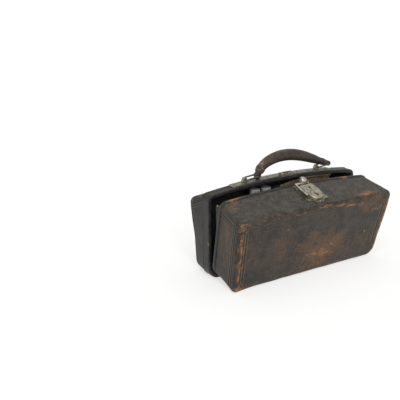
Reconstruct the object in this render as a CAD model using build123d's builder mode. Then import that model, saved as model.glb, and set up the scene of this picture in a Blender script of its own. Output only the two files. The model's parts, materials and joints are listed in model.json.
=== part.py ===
from build123d import *
from dataclasses import dataclass
from math import acos, atan2, cos, degrees, hypot, pi, radians, sin, sqrt
import os

# A leather medical satchel in two halves, hinged along the bottom.
# X runs along its length, Y from the lid in front to the back half, Z up.
# The origin is the centre of the back half's bottom face, where it stands on the table.

# Back half, which stands upright
BACK_RIM_BOTTOM = 270.0
BACK_RIM_TOP = 273.8
BACK_RIM_HEIGHT = 123.0
BACK_RIM_ARCH = 9.0
BACK_FACE_BOTTOM = 257.4
BACK_FACE_TOP = 268.0
BACK_FACE_HEIGHT = 110.0
BACK_FACE_ARCH = 3.0
BACK_DEPTH_BOTTOM = 46.0
BACK_DEPTH_TOP = 51.7

# Lid, built level and then tipped out to where it rests
LID_RIM_BOTTOM = 267.7
LID_RIM_TOP = 269.3
LID_RIM_HEIGHT = 114.0
LID_RIM_ARCH = 6.7
LID_FACE_BOTTOM = 264.6
LID_FACE_TOP = 279.0
LID_FACE_HEIGHT = 110.0
LID_FACE_ARCH = 1.5
LID_DEPTH_BOTTOM = 50.4
LID_DEPTH_TOP = 56.0
LID_BASE = 7.5
RIM_GAP = 5.0

# Corners of both halves
CORNER_BOTTOM = 19.0
CORNER_TOP = 9.0
LID_FACE_CORNER = 12.0
FACE_EDGE = 6.5
FLOOR_TRIM = 0.1

# Skins, from the outside in
BAND_SKIN = 1.0
COVER_SKIN = 1.2
FRAME_SKIN = 1.2
BOARD_SKIN = 2.5
LINING_SKIN = 0.7
BAND_WIDTH = 18.0
BINDING_WIDTH = 6.0

# Leather hinge along the bottom
HINGE_LENGTH = 226.0
HINGE_FOLD = 1.7
HINGE_LEAF = 0.9
HINGE_LEAF_MARGIN = 0.8
HINGE_CLEARANCE = 0.3

# Dust wings inside the ends of the lid
WING_REACH = 15.0
WING_TOP = 104.0
WING_FOOT = 42.0
WING_ROOT = 16.0
WING_SKIN = 1.6

# Metal plate along the top of the back half
PLATE_LENGTH = 186.0
PLATE_WIDTH = 14.0
PLATE_SKIN = 1.4
PLATE_SETBACK = 3.0
RIVET_RADIUS = 1.9
RIVET_DOME = 1.0

# Handle, its rings and its lugs
LUG_INSET = 25.5
LUG_SETBACK = 12.0
LUG_LENGTH = 8.0
LUG_WIDTH = 5.0
LUG_CROWN = 2.7
PIVOT_LIFT = 3.6
RING_WIRE = 1.2
RING_REACH = 23.0
RING_WIDTH = 12.0
RING_BEND = 3.0
RING_REST_ANGLE = 6.0
RUNNING_CLEARANCE = 0.1
EYE_WALL = 2.2
EYE_WIDTH = 5.0
HANDLE_RISE = 23.5
HANDLE_PEAK = 50.0
GRIP_RADIUS = 8.7
GRIP_LEFT_RADIUS = 5.6
GRIP_RIGHT_RADIUS = 3.7
GRIP_START = 5.5
CORE_RADIUS = 2.2
COLLAR_LENGTH = 7.0
COLLAR_SKIN = 0.4

# Lock on the sloping top of the lid; setbacks are counted from the lid's rim
LOCK_X = 3.0
LOCK_WIDTH = 40.0
LOCK_LENGTH = 44.0
LOCK_SETBACK = 6.5
LOCK_PLATE_SKIN = 1.2
CASE_WIDTH = 24.0
CASE_LENGTH = 33.0
CASE_CHIN = 9.0
CASE_SETBACK = 12.5
CASE_HEIGHT = 5.2
CASE_WALL = 1.0
KEYHOLE_SETBACK = 21.0
KEYHOLE_RADIUS = 1.8
KEYHOLE_SLOT = 1.6
KEYHOLE_DROP = 4.6
LATCH_SHAFT = 1.7
LATCH_SETBACK = 9.0
LATCH_LIFT = 4.2
LATCH_THROW = 12.0
EAR_SKIN = 1.6
TONGUE_WIDTH = 10.0
TONGUE_SKIN = 1.8
TONGUE_RISE = 7.2
TONGUE_BEND = 3.6
HOOK_REACH = 5.8
HOOK_DROP = 4.0
BAR_WIDTH = 3.0
BAR_LENGTH = 27.0
BAR_HEIGHT = 2.4
SPRING_SKIN = 0.6
SLIDE_SETBACK = 35.0
SLIDE_WIDTH = 3.0
SLIDE_LENGTH = 4.5
SLIDE_TRAVEL = 4.0
SLIDE_PROUD = 1.4
SLIDE_CLEARANCE = 0.25

# Keeper that the latch hooks into
KEEPER_WIDTH = 24.0
KEEPER_DEPTH = 8.4
KEEPER_HEIGHT = 3.6
KEEPER_SETBACK = 0.8
KEEPER_BAR = 1.9
KEEPER_POCKET = 12.0

# Vials in the rack
VIAL_COUNT = 7
VIAL_PITCH = 19.6
VIAL_FIRST_X = -48.0
VIAL_RADIUS = 6.6
VIAL_WALL = 1.0
VIAL_SETBACK = 12.5
CAP_RADIUS = 7.35
CAP_HEIGHT = 8.5
CAP_HEADROOM = 5.5
CAP_BEAD = 0.45
RACK_BASE_HEIGHT = 15.0
SOCKET_DEPTH = 8.0
RACK_STRIP_HEIGHT = 14.0
RACK_STRIP_DROP = 33.5
RACK_MARGIN = 5.0
RACK_WALL = 1.6
VIAL_CLEARANCE = 0.3

# Retaining flap, sewn inside the top and studded to the rack
FLAP_LEFT = -9.0
FLAP_RIGHT = 88.0
FLAP_SKIN = 1.3
FLAP_SETBACK = 2.6
FLAP_HEM = 8.0
FLAP_SAG = 11.0
FLAP_SLOPE = 7.0
FLAP_CLEARANCE = 0.3
STUD_RADIUS = 3.4
STUD_HEIGHT = 1.4
STUD_INSET = 15.0


@dataclass
class Half:
    """Outside of one half: its rim outline, its outer face and how far apart they are."""

    side: int
    rim_y: float
    base: float
    rim_bottom: float
    rim_top: float
    rim_height: float
    rim_arch: float
    straight: float
    face_bottom: float
    face_top: float
    face_height: float
    face_arch: float
    depth_bottom: float
    depth_top: float
    face_corner: float

    def rim_plane(self, into):
        """Plane across the half, this far in from its rim."""
        return Plane.XZ.offset(-(self.rim_y + self.side * into)) * Plane((0, self.base, 0))

    def face_plane(self, inset):
        """Plane of the outer face, drawn in towards the rim."""
        lean = self.side * (self.depth_top - self.depth_bottom)
        start = self.rim_y + self.side * (self.depth_bottom - inset)
        up = Vector(0, lean, self.face_height).normalized()
        return Plane(origin=(0, start, self.base), x_dir=(1, 0, 0), z_dir=Vector(1, 0, 0).cross(up))

    def rim_outline(self, into, inset):
        """Outline of the rim, this far in from it."""
        sizes = self.rim_bottom, self.rim_top, self.rim_height, self.rim_arch
        return outline(self.rim_plane(into), *sizes, inset, CORNER_BOTTOM)

    def face_outline(self, inset):
        """Outline of the outer face, drawn in by inset."""
        sizes = self.face_bottom, self.face_top, self.face_height, self.face_arch
        return outline(self.face_plane(inset), *sizes, inset, self.face_corner)

    def rim_surface(self, x):
        """Height of the arched top of the rim at x."""
        radius = ((self.rim_top / 2) ** 2 + self.rim_arch**2) / (2 * self.rim_arch)
        return self.base + self.rim_height + self.rim_arch - radius + sqrt(radius**2 - x**2)


def outline(plane, length_bottom, length_top, height, arch, inset, corner):
    """Closed outline with an arched top and round corners, drawn in by inset."""
    with BuildSketch(plane) as shape:
        with BuildLine():
            Polyline(
                (-length_top / 2, height),
                (-length_bottom / 2, 0),
                (length_bottom / 2, 0),
                (length_top / 2, height),
            )
            ThreePointArc((length_top / 2, height), (0, height + arch), (-length_top / 2, height))
        make_face()
        fillet(shape.vertices().sort_by(Axis.Y)[:2], corner)
        fillet(shape.vertices().sort_by(Axis.Y)[-2:], CORNER_TOP)
        if inset:
            offset(amount=-inset)
    return shape.sketch


def block(half, inset, start):
    """Solid of a half from start to its outer face, drawn in by inset all round."""
    with BuildPart() as solid:
        add(half.rim_outline(start, inset))
        add(half.rim_outline(half.straight, inset))
        add(half.face_outline(inset))
        loft(ruled=True)
        outer_face = solid.faces().sort_by(Axis.Y)[-1 if half.side > 0 else 0]
        fillet(outer_face.edges(), max(FACE_EDGE - inset, 1.0))
    return solid.part


def ring_band(half, first, last, outside, inside):
    """Band round the rim, from one distance in to another, between two insets."""
    with BuildPart() as band:
        add(half.rim_outline(first, outside))
        extrude(amount=last - first, dir=(0, half.side, 0))
        add(half.rim_outline(first, inside))
        extrude(amount=last - first, dir=(0, half.side, 0), mode=Mode.SUBTRACT)
    return band.part


def write(piece, name, turn=0.0):
    """Label a finished piece, turn a lid piece about the hinge, and write it."""
    solid = piece.part
    if turn:
        solid = solid.rotate(hinge_axis, turn)
    solid.label = name
    export_step(solid, f"parts/{name}.step")
    return solid


os.makedirs("parts", exist_ok=True)

rim_y = -BACK_DEPTH_BOTTOM / 2
back = Half(
    side=1,
    rim_y=rim_y,
    base=-BAND_SKIN - FLOOR_TRIM,
    rim_bottom=BACK_RIM_BOTTOM,
    rim_top=BACK_RIM_TOP,
    rim_height=BACK_RIM_HEIGHT + BAND_SKIN + FLOOR_TRIM,
    rim_arch=BACK_RIM_ARCH,
    straight=BAND_WIDTH,
    face_bottom=BACK_FACE_BOTTOM,
    face_top=BACK_FACE_TOP,
    face_height=BACK_FACE_HEIGHT + BAND_SKIN + FLOOR_TRIM,
    face_arch=BACK_FACE_ARCH,
    depth_bottom=BACK_DEPTH_BOTTOM,
    depth_top=BACK_DEPTH_TOP,
    face_corner=CORNER_BOTTOM,
)
lid = Half(
    side=-1,
    rim_y=rim_y - RIM_GAP,
    base=LID_BASE,
    rim_bottom=LID_RIM_BOTTOM,
    rim_top=LID_RIM_TOP,
    rim_height=LID_RIM_HEIGHT,
    rim_arch=LID_RIM_ARCH,
    straight=BINDING_WIDTH,
    face_bottom=LID_FACE_BOTTOM,
    face_top=LID_FACE_TOP,
    face_height=LID_FACE_HEIGHT,
    face_arch=LID_FACE_ARCH,
    depth_bottom=LID_DEPTH_BOTTOM,
    depth_top=LID_DEPTH_TOP,
    face_corner=LID_FACE_CORNER,
)
hinge_y = rim_y - RIM_GAP / 2
hinge_z = LID_BASE
hinge_axis = Axis((0, hinge_y, hinge_z), (1, 0, 0))

# The lid tips out until its rounded lower front edge meets the table
lean = (LID_DEPTH_TOP - LID_DEPTH_BOTTOM) / LID_FACE_HEIGHT
edge_depth = LID_DEPTH_BOTTOM + RIM_GAP / 2 + lean * FACE_EDGE - FACE_EDGE * hypot(1, lean)
edge_reach = hypot(edge_depth, FACE_EDGE)
rest_angle = degrees(acos((FACE_EDGE - hinge_z) / edge_reach) - atan2(edge_depth, FACE_EDGE))

# Insets of the skins, counted from the outside of the band or of the lid's cover
cover_in = BAND_SKIN + COVER_SKIN
frame_in = cover_in + FRAME_SKIN
board_in = cover_in + BOARD_SKIN
lining_in = board_in + LINING_SKIN
lid_frame_in = COVER_SKIN + FRAME_SKIN
lid_board_in = COVER_SKIN + BOARD_SKIN
lid_lining_in = lid_board_in + LINING_SKIN

# Back half: leather band round the rim, cover, steel frame, board and lining
with BuildPart() as back_rim_band:
    add(ring_band(back, 0, BAND_WIDTH, 0, BAND_SKIN))
    add(ring_band(back, 0, BAND_SKIN, 0, lining_in))
    split(bisect_by=Plane.XY, keep=Keep.TOP)

with BuildPart() as back_cover:
    add(block(back, BAND_SKIN, BAND_SKIN))
    add(block(back, cover_in, BAND_SKIN), mode=Mode.SUBTRACT)
    split(bisect_by=Plane.XY, keep=Keep.TOP)

with BuildPart() as back_frame:
    add(ring_band(back, BAND_SKIN, BAND_WIDTH - BAND_SKIN, cover_in, frame_in))

with BuildPart() as back_board:
    add(block(back, cover_in, BAND_SKIN))
    add(block(back, board_in, BAND_SKIN), mode=Mode.SUBTRACT)
    add(ring_band(back, BAND_SKIN, BAND_WIDTH - BAND_SKIN, cover_in, frame_in), mode=Mode.SUBTRACT)

with BuildPart() as back_lining:
    add(block(back, board_in, BAND_SKIN))
    add(block(back, lining_in, BAND_SKIN), mode=Mode.SUBTRACT)

for piece, name in (
    (back_rim_band, "back_rim_band"),
    (back_cover, "back_cover"),
    (back_frame, "back_frame"),
    (back_board, "back_board"),
    (back_lining, "back_lining"),
):
    write(piece, name)

# Lid: the same skins, with a narrow binding that stands proud of the cover
with BuildPart() as lid_binding:
    add(ring_band(lid, 0, BINDING_WIDTH, -BAND_SKIN, 0))
    add(ring_band(lid, 0, BAND_SKIN, -BAND_SKIN, lid_lining_in))

with BuildPart() as lid_cover:
    add(block(lid, 0, BAND_SKIN))
    add(block(lid, COVER_SKIN, BAND_SKIN), mode=Mode.SUBTRACT)

with BuildPart() as lid_frame:
    add(ring_band(lid, BAND_SKIN, BINDING_WIDTH - BAND_SKIN, COVER_SKIN, lid_frame_in))

with BuildPart() as lid_board:
    add(block(lid, COVER_SKIN, BAND_SKIN))
    add(block(lid, lid_board_in, BAND_SKIN), mode=Mode.SUBTRACT)
    add(ring_band(lid, BAND_SKIN, BINDING_WIDTH - BAND_SKIN, COVER_SKIN, lid_frame_in), mode=Mode.SUBTRACT)

with BuildPart() as lid_lining:
    add(block(lid, lid_board_in, BAND_SKIN))
    add(block(lid, lid_lining_in, BAND_SKIN), mode=Mode.SUBTRACT)

# Dust wings: stiff leather triangles inside the lid's ends, which slip into the back half
wing_x = LID_RIM_BOTTOM / 2 - lid_lining_in - WING_SKIN
wings = {}
for hand, sign in (("left", -1), ("right", 1)):
    with BuildPart() as wing:
        with BuildSketch(Plane.YZ.offset(sign * (wing_x + WING_SKIN / 2))):
            with BuildLine():
                Polyline(
                    (lid.rim_y - WING_ROOT, LID_BASE + WING_FOOT),
                    (lid.rim_y, LID_BASE + WING_FOOT),
                    (lid.rim_y + WING_REACH, LID_BASE + WING_TOP),
                    (lid.rim_y - WING_ROOT, LID_BASE + WING_TOP),
                    close=True,
                )
            make_face()
        extrude(amount=WING_SKIN / 2, both=True)
        fillet(wing.edges().filter_by(Axis.X).sort_by(Axis.Y)[-1], WING_SKIN * 2)
    wings[hand] = wing

for piece, name in (
    (lid_binding, "lid_binding"),
    (lid_cover, "lid_cover"),
    (lid_frame, "lid_frame"),
    (lid_board, "lid_board"),
    (lid_lining, "lid_lining"),
    (wings["left"], "lid_wing_left"),
    (wings["right"], "lid_wing_right"),
):
    write(piece, name, rest_angle)

# Leather hinge: a leaf on each rim and the round fold between them
fold_foot = hinge_z - HINGE_FOLD
with BuildPart() as hinge_back_leaf:
    with BuildSketch(Plane.YZ):
        with Locations((hinge_y, hinge_z)):
            Circle(HINGE_FOLD)
        with BuildLine():
            Polyline(
                (hinge_y, fold_foot),
                (rim_y - HINGE_LEAF, fold_foot),
                (rim_y - HINGE_LEAF, HINGE_LEAF_MARGIN),
                (rim_y, HINGE_LEAF_MARGIN),
                (rim_y, fold_foot + HINGE_LEAF),
                (hinge_y, fold_foot + HINGE_LEAF),
                close=True,
            )
        make_face()
    extrude(amount=HINGE_LENGTH / 2, both=True)

with BuildPart() as hinge_front_leaf:
    with BuildSketch(Plane.YZ):
        with BuildLine():
            Polyline(
                (lid.rim_y, hinge_z),
                (lid.rim_y + HINGE_LEAF, hinge_z),
                (lid.rim_y + HINGE_LEAF, hinge_z + lid_lining_in - HINGE_LEAF_MARGIN),
                (lid.rim_y, hinge_z + lid_lining_in - HINGE_LEAF_MARGIN),
                close=True,
            )
        make_face()
        with Locations((hinge_y, hinge_z)):
            Circle(HINGE_FOLD + HINGE_CLEARANCE, mode=Mode.SUBTRACT)
    extrude(amount=HINGE_LENGTH / 2, both=True)

write(hinge_back_leaf, "hinge_back_leaf")
write(hinge_front_leaf, "hinge_front_leaf", rest_angle)

# Metal plate along the top of the back half, bent to the arch of the rim
plate_y = rim_y + PLATE_SETBACK


def arch_solid(lift):
    """Solid below the arched top of the back half's rim, raised by lift, under the plate."""
    with BuildPart() as solid:
        with BuildSketch(Plane.XZ.offset(-plate_y)):
            with BuildLine():
                top = [(x, back.rim_surface(x) + lift) for x in (PLATE_LENGTH / 2, 0, -PLATE_LENGTH / 2)]
                ThreePointArc(*top)
                Polyline(
                    top[2],
                    (-PLATE_LENGTH / 2, back.rim_height - back.rim_arch),
                    (PLATE_LENGTH / 2, back.rim_height - back.rim_arch),
                    top[0],
                )
            make_face()
        extrude(amount=PLATE_WIDTH, dir=(0, 1, 0))
    return solid.part


with BuildPart() as top_plate:
    add(arch_solid(PLATE_SKIN))
    add(arch_solid(0), mode=Mode.SUBTRACT)
    fillet(top_plate.edges().filter_by(Axis.Z), PLATE_WIDTH / 4)

rivet_places = (0.46, 0.27, 0.15, -0.15, -0.27, -0.46)
with BuildPart() as plate_rivets:
    for share in rivet_places:
        x = share * PLATE_LENGTH
        top = back.rim_surface(x) + PLATE_SKIN
        with BuildSketch(Plane.XY.offset(top - PLATE_SKIN / 2)):
            with Locations((x, plate_y + PLATE_WIDTH / 2)):
                Circle(RIVET_RADIUS)
        extrude(amount=PLATE_SKIN / 2 + RIVET_DOME)
    fillet(plate_rivets.faces().filter_by(Axis.Z).group_by(Axis.Z)[-1].edges(), RIVET_DOME / 2)
    add(arch_solid(PLATE_SKIN), mode=Mode.SUBTRACT)

# Lugs that hold the handle's rings
lug_y = rim_y + LUG_SETBACK
lug_x = PLATE_LENGTH / 2 - LUG_INSET
pivot_z = back.rim_surface(lug_x) + PLATE_SKIN + PIVOT_LIFT
hole = RING_WIRE + RUNNING_CLEARANCE
for hand, sign in (("left", -1), ("right", 1)):
    with BuildPart() as lug:
        with BuildSketch(Plane.XZ.offset(-lug_y)):
            with Locations((sign * lug_x, pivot_z)):
                Circle(LUG_CROWN)
                with Locations((0, -PIVOT_LIFT)):
                    Rectangle(LUG_LENGTH, PIVOT_LIFT * 2)
                Circle(hole, mode=Mode.SUBTRACT)
        extrude(amount=LUG_WIDTH / 2, both=True)
        add(arch_solid(PLATE_SKIN), mode=Mode.SUBTRACT)
    write(lug, f"handle_lug_{hand}")

# Rings: rounded wire links lying from their lugs towards the right
ring_lean = radians(RING_REST_ANGLE)
for hand, sign in (("left", -1), ("right", 1)):
    start = Vector(sign * lug_x, lug_y, pivot_z)
    along = Vector(cos(ring_lean), 0, sin(ring_lean))
    link_plane = Plane(origin=start, x_dir=along, z_dir=along.cross(Vector(0, 1, 0)))
    with BuildPart() as ring:
        with BuildLine(link_plane) as path:
            FilletPolyline(
                (0, RING_WIDTH / 2),
                (RING_REACH, RING_WIDTH / 2),
                (RING_REACH, -RING_WIDTH / 2),
                (0, -RING_WIDTH / 2),
                radius=RING_BEND,
                close=True,
            )
        loop = path.wires()[0]
        with BuildSketch(Plane(origin=loop @ 0, z_dir=loop % 0)):
            Circle(RING_WIRE)
        sweep(path=loop)
    write(ring, f"ring_{hand}")

# Handle: a steel core with an eye at each end, padded and covered in leather
grip_left = Vector(-lug_x, lug_y, pivot_z) + Vector(cos(ring_lean), 0, sin(ring_lean)) * RING_REACH
grip_span = 2 * lug_x
grip_knots = (
    (0.0, 0.0),
    (0.045, 0.42),
    (0.16, 0.82),
    (HANDLE_PEAK / grip_span, 1.0),
    (0.62, 0.76),
    (0.83, 0.34),
    (1.0, 0.0),
)
with BuildLine(Plane.XZ) as grip_line:
    Spline([(grip_left.X + u * grip_span, grip_left.Z + h * HANDLE_RISE) for u, h in grip_knots])
grip_edge = grip_line.edges()[0]


def grip_section(share, radius):
    """Round section across the handle at a share of its length."""
    at = grip_edge.position_at(share)
    along = grip_edge.tangent_at(share)
    with BuildSketch(Plane(origin=(at.X, lug_y, at.Z), z_dir=(along.X, 0, along.Z))) as section:
        Circle(radius)
    return section.sketch


def grip_solid(shares, radii):
    """Smooth solid through round sections along the handle."""
    with BuildPart() as solid:
        for share, radius in zip(shares, radii):
            add(grip_section(share, radius))
        loft()
    return solid.part


def grip_radius(share):
    """Radius of the grip at a share of its length: full in the middle, slimmer to the right."""
    ends = GRIP_LEFT_RADIUS + (GRIP_RIGHT_RADIUS - GRIP_LEFT_RADIUS) * share
    return ends + (GRIP_RADIUS - ends) * max(0.0, sin(pi * share**0.85)) ** 0.8


grip_length = grip_edge.length
grip_first = GRIP_START / grip_length
grip_shares = [grip_first + (1 - 2 * grip_first) * step / 8 for step in range(9)]
grip_radii = [grip_radius(step / 8) for step in range(9)]
core_shares = [step / 8 for step in range(9)]
with BuildPart() as handle_core:
    add(grip_solid(core_shares, [CORE_RADIUS] * 9))
    for end in (0, 1):
        at = grip_edge.position_at(end)
        with BuildSketch(Plane.XZ.offset(-lug_y)):
            with Locations((at.X, at.Z)):
                Circle(hole + EYE_WALL)
        extrude(amount=EYE_WIDTH / 2, both=True)
    for end in (0, 1):
        at = grip_edge.position_at(end)
        with BuildSketch(Plane.XZ.offset(-lug_y)):
            with Locations((at.X, at.Z)):
                Circle(hole)
        extrude(amount=EYE_WIDTH, both=True, mode=Mode.SUBTRACT)

with BuildPart() as handle_grip:
    add(grip_solid(grip_shares, grip_radii))
    add(handle_core.part, mode=Mode.SUBTRACT)

write(handle_core, "handle_core")
write(handle_grip, "handle_grip")

# Leather collars where the grip narrows to its eyes
collar_share = COLLAR_LENGTH / grip_length
for hand, first in (("left", grip_first), ("right", 1 - grip_first - collar_share)):
    with BuildPart() as collar:
        near = [first + collar_share * k / 4 for k in range(5)]
        shares = [(share - grip_first) / (1 - 2 * grip_first) for share in near]
        add(grip_solid(near, [grip_radius(min(1.0, max(0.0, share))) + 2 * COLLAR_SKIN for share in shares]))
        add(handle_grip.part, mode=Mode.SUBTRACT)
        add(handle_core.part, mode=Mode.SUBTRACT)
    write(collar, f"handle_collar_{hand}")

write(top_plate, "top_plate")
write(plate_rivets, "plate_rivets")

# Keeper on the plate: a bar in front of the pocket that the latch's hook drops into
keeper_y = rim_y + KEEPER_SETBACK
keeper_top = back.rim_surface(LOCK_X) + PLATE_SKIN + KEEPER_HEIGHT
with BuildPart() as keeper:
    with BuildSketch(Plane.XY.offset(keeper_top)):
        with Locations((LOCK_X, keeper_y + KEEPER_DEPTH / 2)):
            RectangleRounded(KEEPER_WIDTH, KEEPER_DEPTH, KEEPER_DEPTH / 4)
    extrude(amount=-2 * KEEPER_HEIGHT)
    fillet(keeper.faces().sort_by(Axis.Z)[-1].edges(), KEEPER_HEIGHT / 5)
    with BuildSketch(Plane.XY.offset(keeper_top)):
        pocket = KEEPER_DEPTH - 2 * KEEPER_BAR
        with Locations((LOCK_X, keeper_y + KEEPER_BAR + pocket / 2)):
            Rectangle(KEEPER_POCKET, pocket)
    extrude(amount=-2 * KEEPER_HEIGHT, mode=Mode.SUBTRACT)
    add(arch_solid(PLATE_SKIN), mode=Mode.SUBTRACT)
    add(ring_band(back, 0, BAND_WIDTH, 0, BAND_WIDTH), mode=Mode.SUBTRACT)
write(keeper, "keeper")

# Plane of the lock: on the slope of the lid's top, with local Y towards the rim
slope_run = lid.depth_top - lid.straight
slope_drop = lid.rim_height + lid.rim_arch - lid.face_height - lid.face_arch
bend = Vector(LOCK_X, lid.rim_y - lid.straight, lid.rim_surface(LOCK_X))
lock_normal = Vector(0, -slope_drop, slope_run).normalized()
lock_plane = Plane(origin=bend, x_dir=(1, 0, 0), z_dir=lock_normal)
side_plane = Plane(origin=bend, x_dir=lock_plane.y_dir, z_dir=(1, 0, 0))


def from_rim(setback):
    """Local Y of a place on the lock, counted from the lid's rim."""
    return lid.straight - setback


plate_top = from_rim(LOCK_SETBACK)
with BuildPart() as lock_plate:
    with BuildSketch(lock_plane) as plate_shape:
        with BuildLine() as plate_edge:
            Polyline(
                (0, plate_top),
                (0.42 * LOCK_WIDTH, plate_top),
                (0.5 * LOCK_WIDTH, plate_top - 0.4 * LOCK_LENGTH),
                (0.42 * LOCK_WIDTH, plate_top - 0.48 * LOCK_LENGTH),
                (0.48 * LOCK_WIDTH, plate_top - 0.85 * LOCK_LENGTH),
                (0.24 * LOCK_WIDTH, plate_top - 0.89 * LOCK_LENGTH),
                (0.14 * LOCK_WIDTH, plate_top - LOCK_LENGTH),
                (0, plate_top - LOCK_LENGTH),
            )
            mirror(about=Plane.YZ)
        make_face()
        fillet(plate_shape.vertices().filter_by(lambda v: abs(v.X) > 1), LOCK_WIDTH / 20)
    extrude(amount=LOCK_PLATE_SKIN)

case_top = from_rim(CASE_SETBACK)
case_centre = case_top - CASE_LENGTH / 2
on_plate = lock_plane.offset(LOCK_PLATE_SKIN)
slot_length = SLIDE_LENGTH + SLIDE_TRAVEL + 2 * SLIDE_CLEARANCE
slot_width = SLIDE_WIDTH + 2 * SLIDE_CLEARANCE
slot_centre = from_rim(SLIDE_SETBACK) - SLIDE_TRAVEL / 2


def case_outline(wall):
    """Shield shape of the lock's case, or of its hollow at a wall's thickness."""
    with BuildSketch() as shield:
        with Locations((0, case_centre)):
            Rectangle(CASE_WIDTH - 2 * wall, CASE_LENGTH - 2 * wall)
        fillet(shield.vertices().sort_by(Axis.Y)[:2], CASE_CHIN - wall)
        fillet(shield.vertices().sort_by(Axis.Y)[-2:], CASE_WIDTH / 8 - wall)
    return shield.sketch


with BuildPart() as lock_case:
    with BuildSketch(on_plate):
        add(case_outline(0))
    extrude(amount=CASE_HEIGHT)
    fillet(lock_case.faces().sort_by(Axis(bend, lock_normal))[-1].edges(), CASE_HEIGHT / 4)
    with BuildSketch(on_plate):
        add(case_outline(CASE_WALL))
    extrude(amount=CASE_HEIGHT - CASE_WALL, mode=Mode.SUBTRACT)
    with BuildSketch(on_plate):
        with Locations((0, from_rim(KEYHOLE_SETBACK))):
            Circle(KEYHOLE_RADIUS)
            with Locations((0, -KEYHOLE_DROP / 2)):
                Rectangle(KEYHOLE_SLOT, KEYHOLE_DROP)
        with Locations((0, slot_centre)):
            Rectangle(slot_width, slot_length)
    extrude(amount=2 * CASE_HEIGHT, mode=Mode.SUBTRACT)

# Release slide: a thumb knob in the slot, on a runner inside the case
runner_top = CASE_HEIGHT - CASE_WALL - SLIDE_CLEARANCE
with BuildPart() as release_slide:
    with BuildSketch(on_plate.offset(runner_top)):
        with Locations((0, from_rim(SLIDE_SETBACK))):
            Rectangle(3 * SLIDE_WIDTH, 1.6 * SLIDE_LENGTH)
    extrude(amount=RUNNING_CLEARANCE - runner_top / 2)
    with BuildSketch(on_plate.offset(runner_top)):
        with Locations((0, from_rim(SLIDE_SETBACK))):
            Rectangle(SLIDE_WIDTH, SLIDE_LENGTH)
    extrude(amount=CASE_HEIGHT - runner_top + SLIDE_PROUD)
    fillet(release_slide.faces().sort_by(Axis(bend, lock_normal))[-1].edges(), SLIDE_PROUD / 3)

# Rails inside the case that carry the slide's runner
with BuildPart() as slide_rails:
    with BuildSketch(on_plate):
        with Locations((0, slot_centre)):
            with Locations((-1.1 * SLIDE_WIDTH, 0), (1.1 * SLIDE_WIDTH, 0)):
                Rectangle(SLIDE_WIDTH / 2, 1.5 * slot_length)
    extrude(amount=runner_top / 2)

# Ears that hold the latch's shaft
shaft_at = (from_rim(LATCH_SETBACK), LOCK_PLATE_SKIN + LATCH_LIFT)
ear_x = TONGUE_WIDTH / 2 + SLIDE_CLEARANCE + EAR_SKIN / 2
with BuildPart() as latch_ears:
    for sign in (-1, 1):
        with BuildSketch(side_plane.offset(sign * ear_x)):
            with Locations(shaft_at):
                Circle(LATCH_SHAFT + EAR_SKIN)
                with Locations((0, -LATCH_LIFT / 2)):
                    Rectangle(2 * (LATCH_SHAFT + EAR_SKIN), LATCH_LIFT)
                Circle(LATCH_SHAFT + RUNNING_CLEARANCE / 2, mode=Mode.SUBTRACT)
        extrude(amount=EAR_SKIN / 2, both=True)

# Latch: a shaft with the hooked tongue in the middle and a thumb bar beside the case
tongue_top = shaft_at[1] + TONGUE_RISE
bar_x = CASE_WIDTH / 2 + BAR_WIDTH / 2 + 2 * SLIDE_CLEARANCE
shaft_end = ear_x + EAR_SKIN / 2 + LATCH_SHAFT
with BuildPart() as latch:
    with BuildSketch(side_plane.offset(-bar_x - BAR_WIDTH / 2)):
        with Locations(shaft_at):
            Circle(LATCH_SHAFT)
    extrude(amount=bar_x + BAR_WIDTH / 2 + shaft_end)
    with BuildSketch(side_plane):
        with BuildLine():
            FilletPolyline(
                (shaft_at[0] - LATCH_SHAFT, shaft_at[1]),
                (shaft_at[0] - LATCH_SHAFT / 2, tongue_top),
                (from_rim(-HOOK_REACH), tongue_top),
                (from_rim(-HOOK_REACH), tongue_top - HOOK_DROP),
                radius=TONGUE_BEND,
            )
            Line(
                (from_rim(-HOOK_REACH), tongue_top - HOOK_DROP),
                (from_rim(TONGUE_SKIN - HOOK_REACH), tongue_top - HOOK_DROP),
            )
            FilletPolyline(
                (from_rim(TONGUE_SKIN - HOOK_REACH), tongue_top - HOOK_DROP),
                (from_rim(TONGUE_SKIN - HOOK_REACH), tongue_top - TONGUE_SKIN),
                (shaft_at[0] + LATCH_SHAFT, tongue_top - TONGUE_SKIN),
                (shaft_at[0] + LATCH_SHAFT, shaft_at[1]),
                radius=TONGUE_BEND - TONGUE_SKIN,
            )
            Line((shaft_at[0] + LATCH_SHAFT, shaft_at[1]), (shaft_at[0] - LATCH_SHAFT, shaft_at[1]))
        make_face()
    extrude(amount=TONGUE_WIDTH / 2, both=True)
    with BuildSketch(side_plane.offset(-bar_x)):
        with Locations((shaft_at[0] - BAR_LENGTH / 2, shaft_at[1])):
            SlotOverall(BAR_LENGTH + BAR_HEIGHT, BAR_HEIGHT)
    extrude(amount=BAR_WIDTH / 2, both=True)

# Leaf spring under the tongue, riveted to the lock's plate
with BuildPart() as latch_spring:
    with BuildSketch(side_plane):
        with BuildLine():
            Polyline(
                (case_top + SLIDE_CLEARANCE, LOCK_PLATE_SKIN),
                (shaft_at[0] + LATCH_SHAFT, LOCK_PLATE_SKIN),
                (from_rim(0), LOCK_PLATE_SKIN + LATCH_LIFT),
                (from_rim(0), LOCK_PLATE_SKIN + LATCH_LIFT + SPRING_SKIN),
                (shaft_at[0] + LATCH_SHAFT - SPRING_SKIN, LOCK_PLATE_SKIN + SPRING_SKIN),
                (case_top + SLIDE_CLEARANCE, LOCK_PLATE_SKIN + SPRING_SKIN),
                close=True,
            )
        make_face()
    extrude(amount=TONGUE_WIDTH / 3, both=True)

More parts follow.
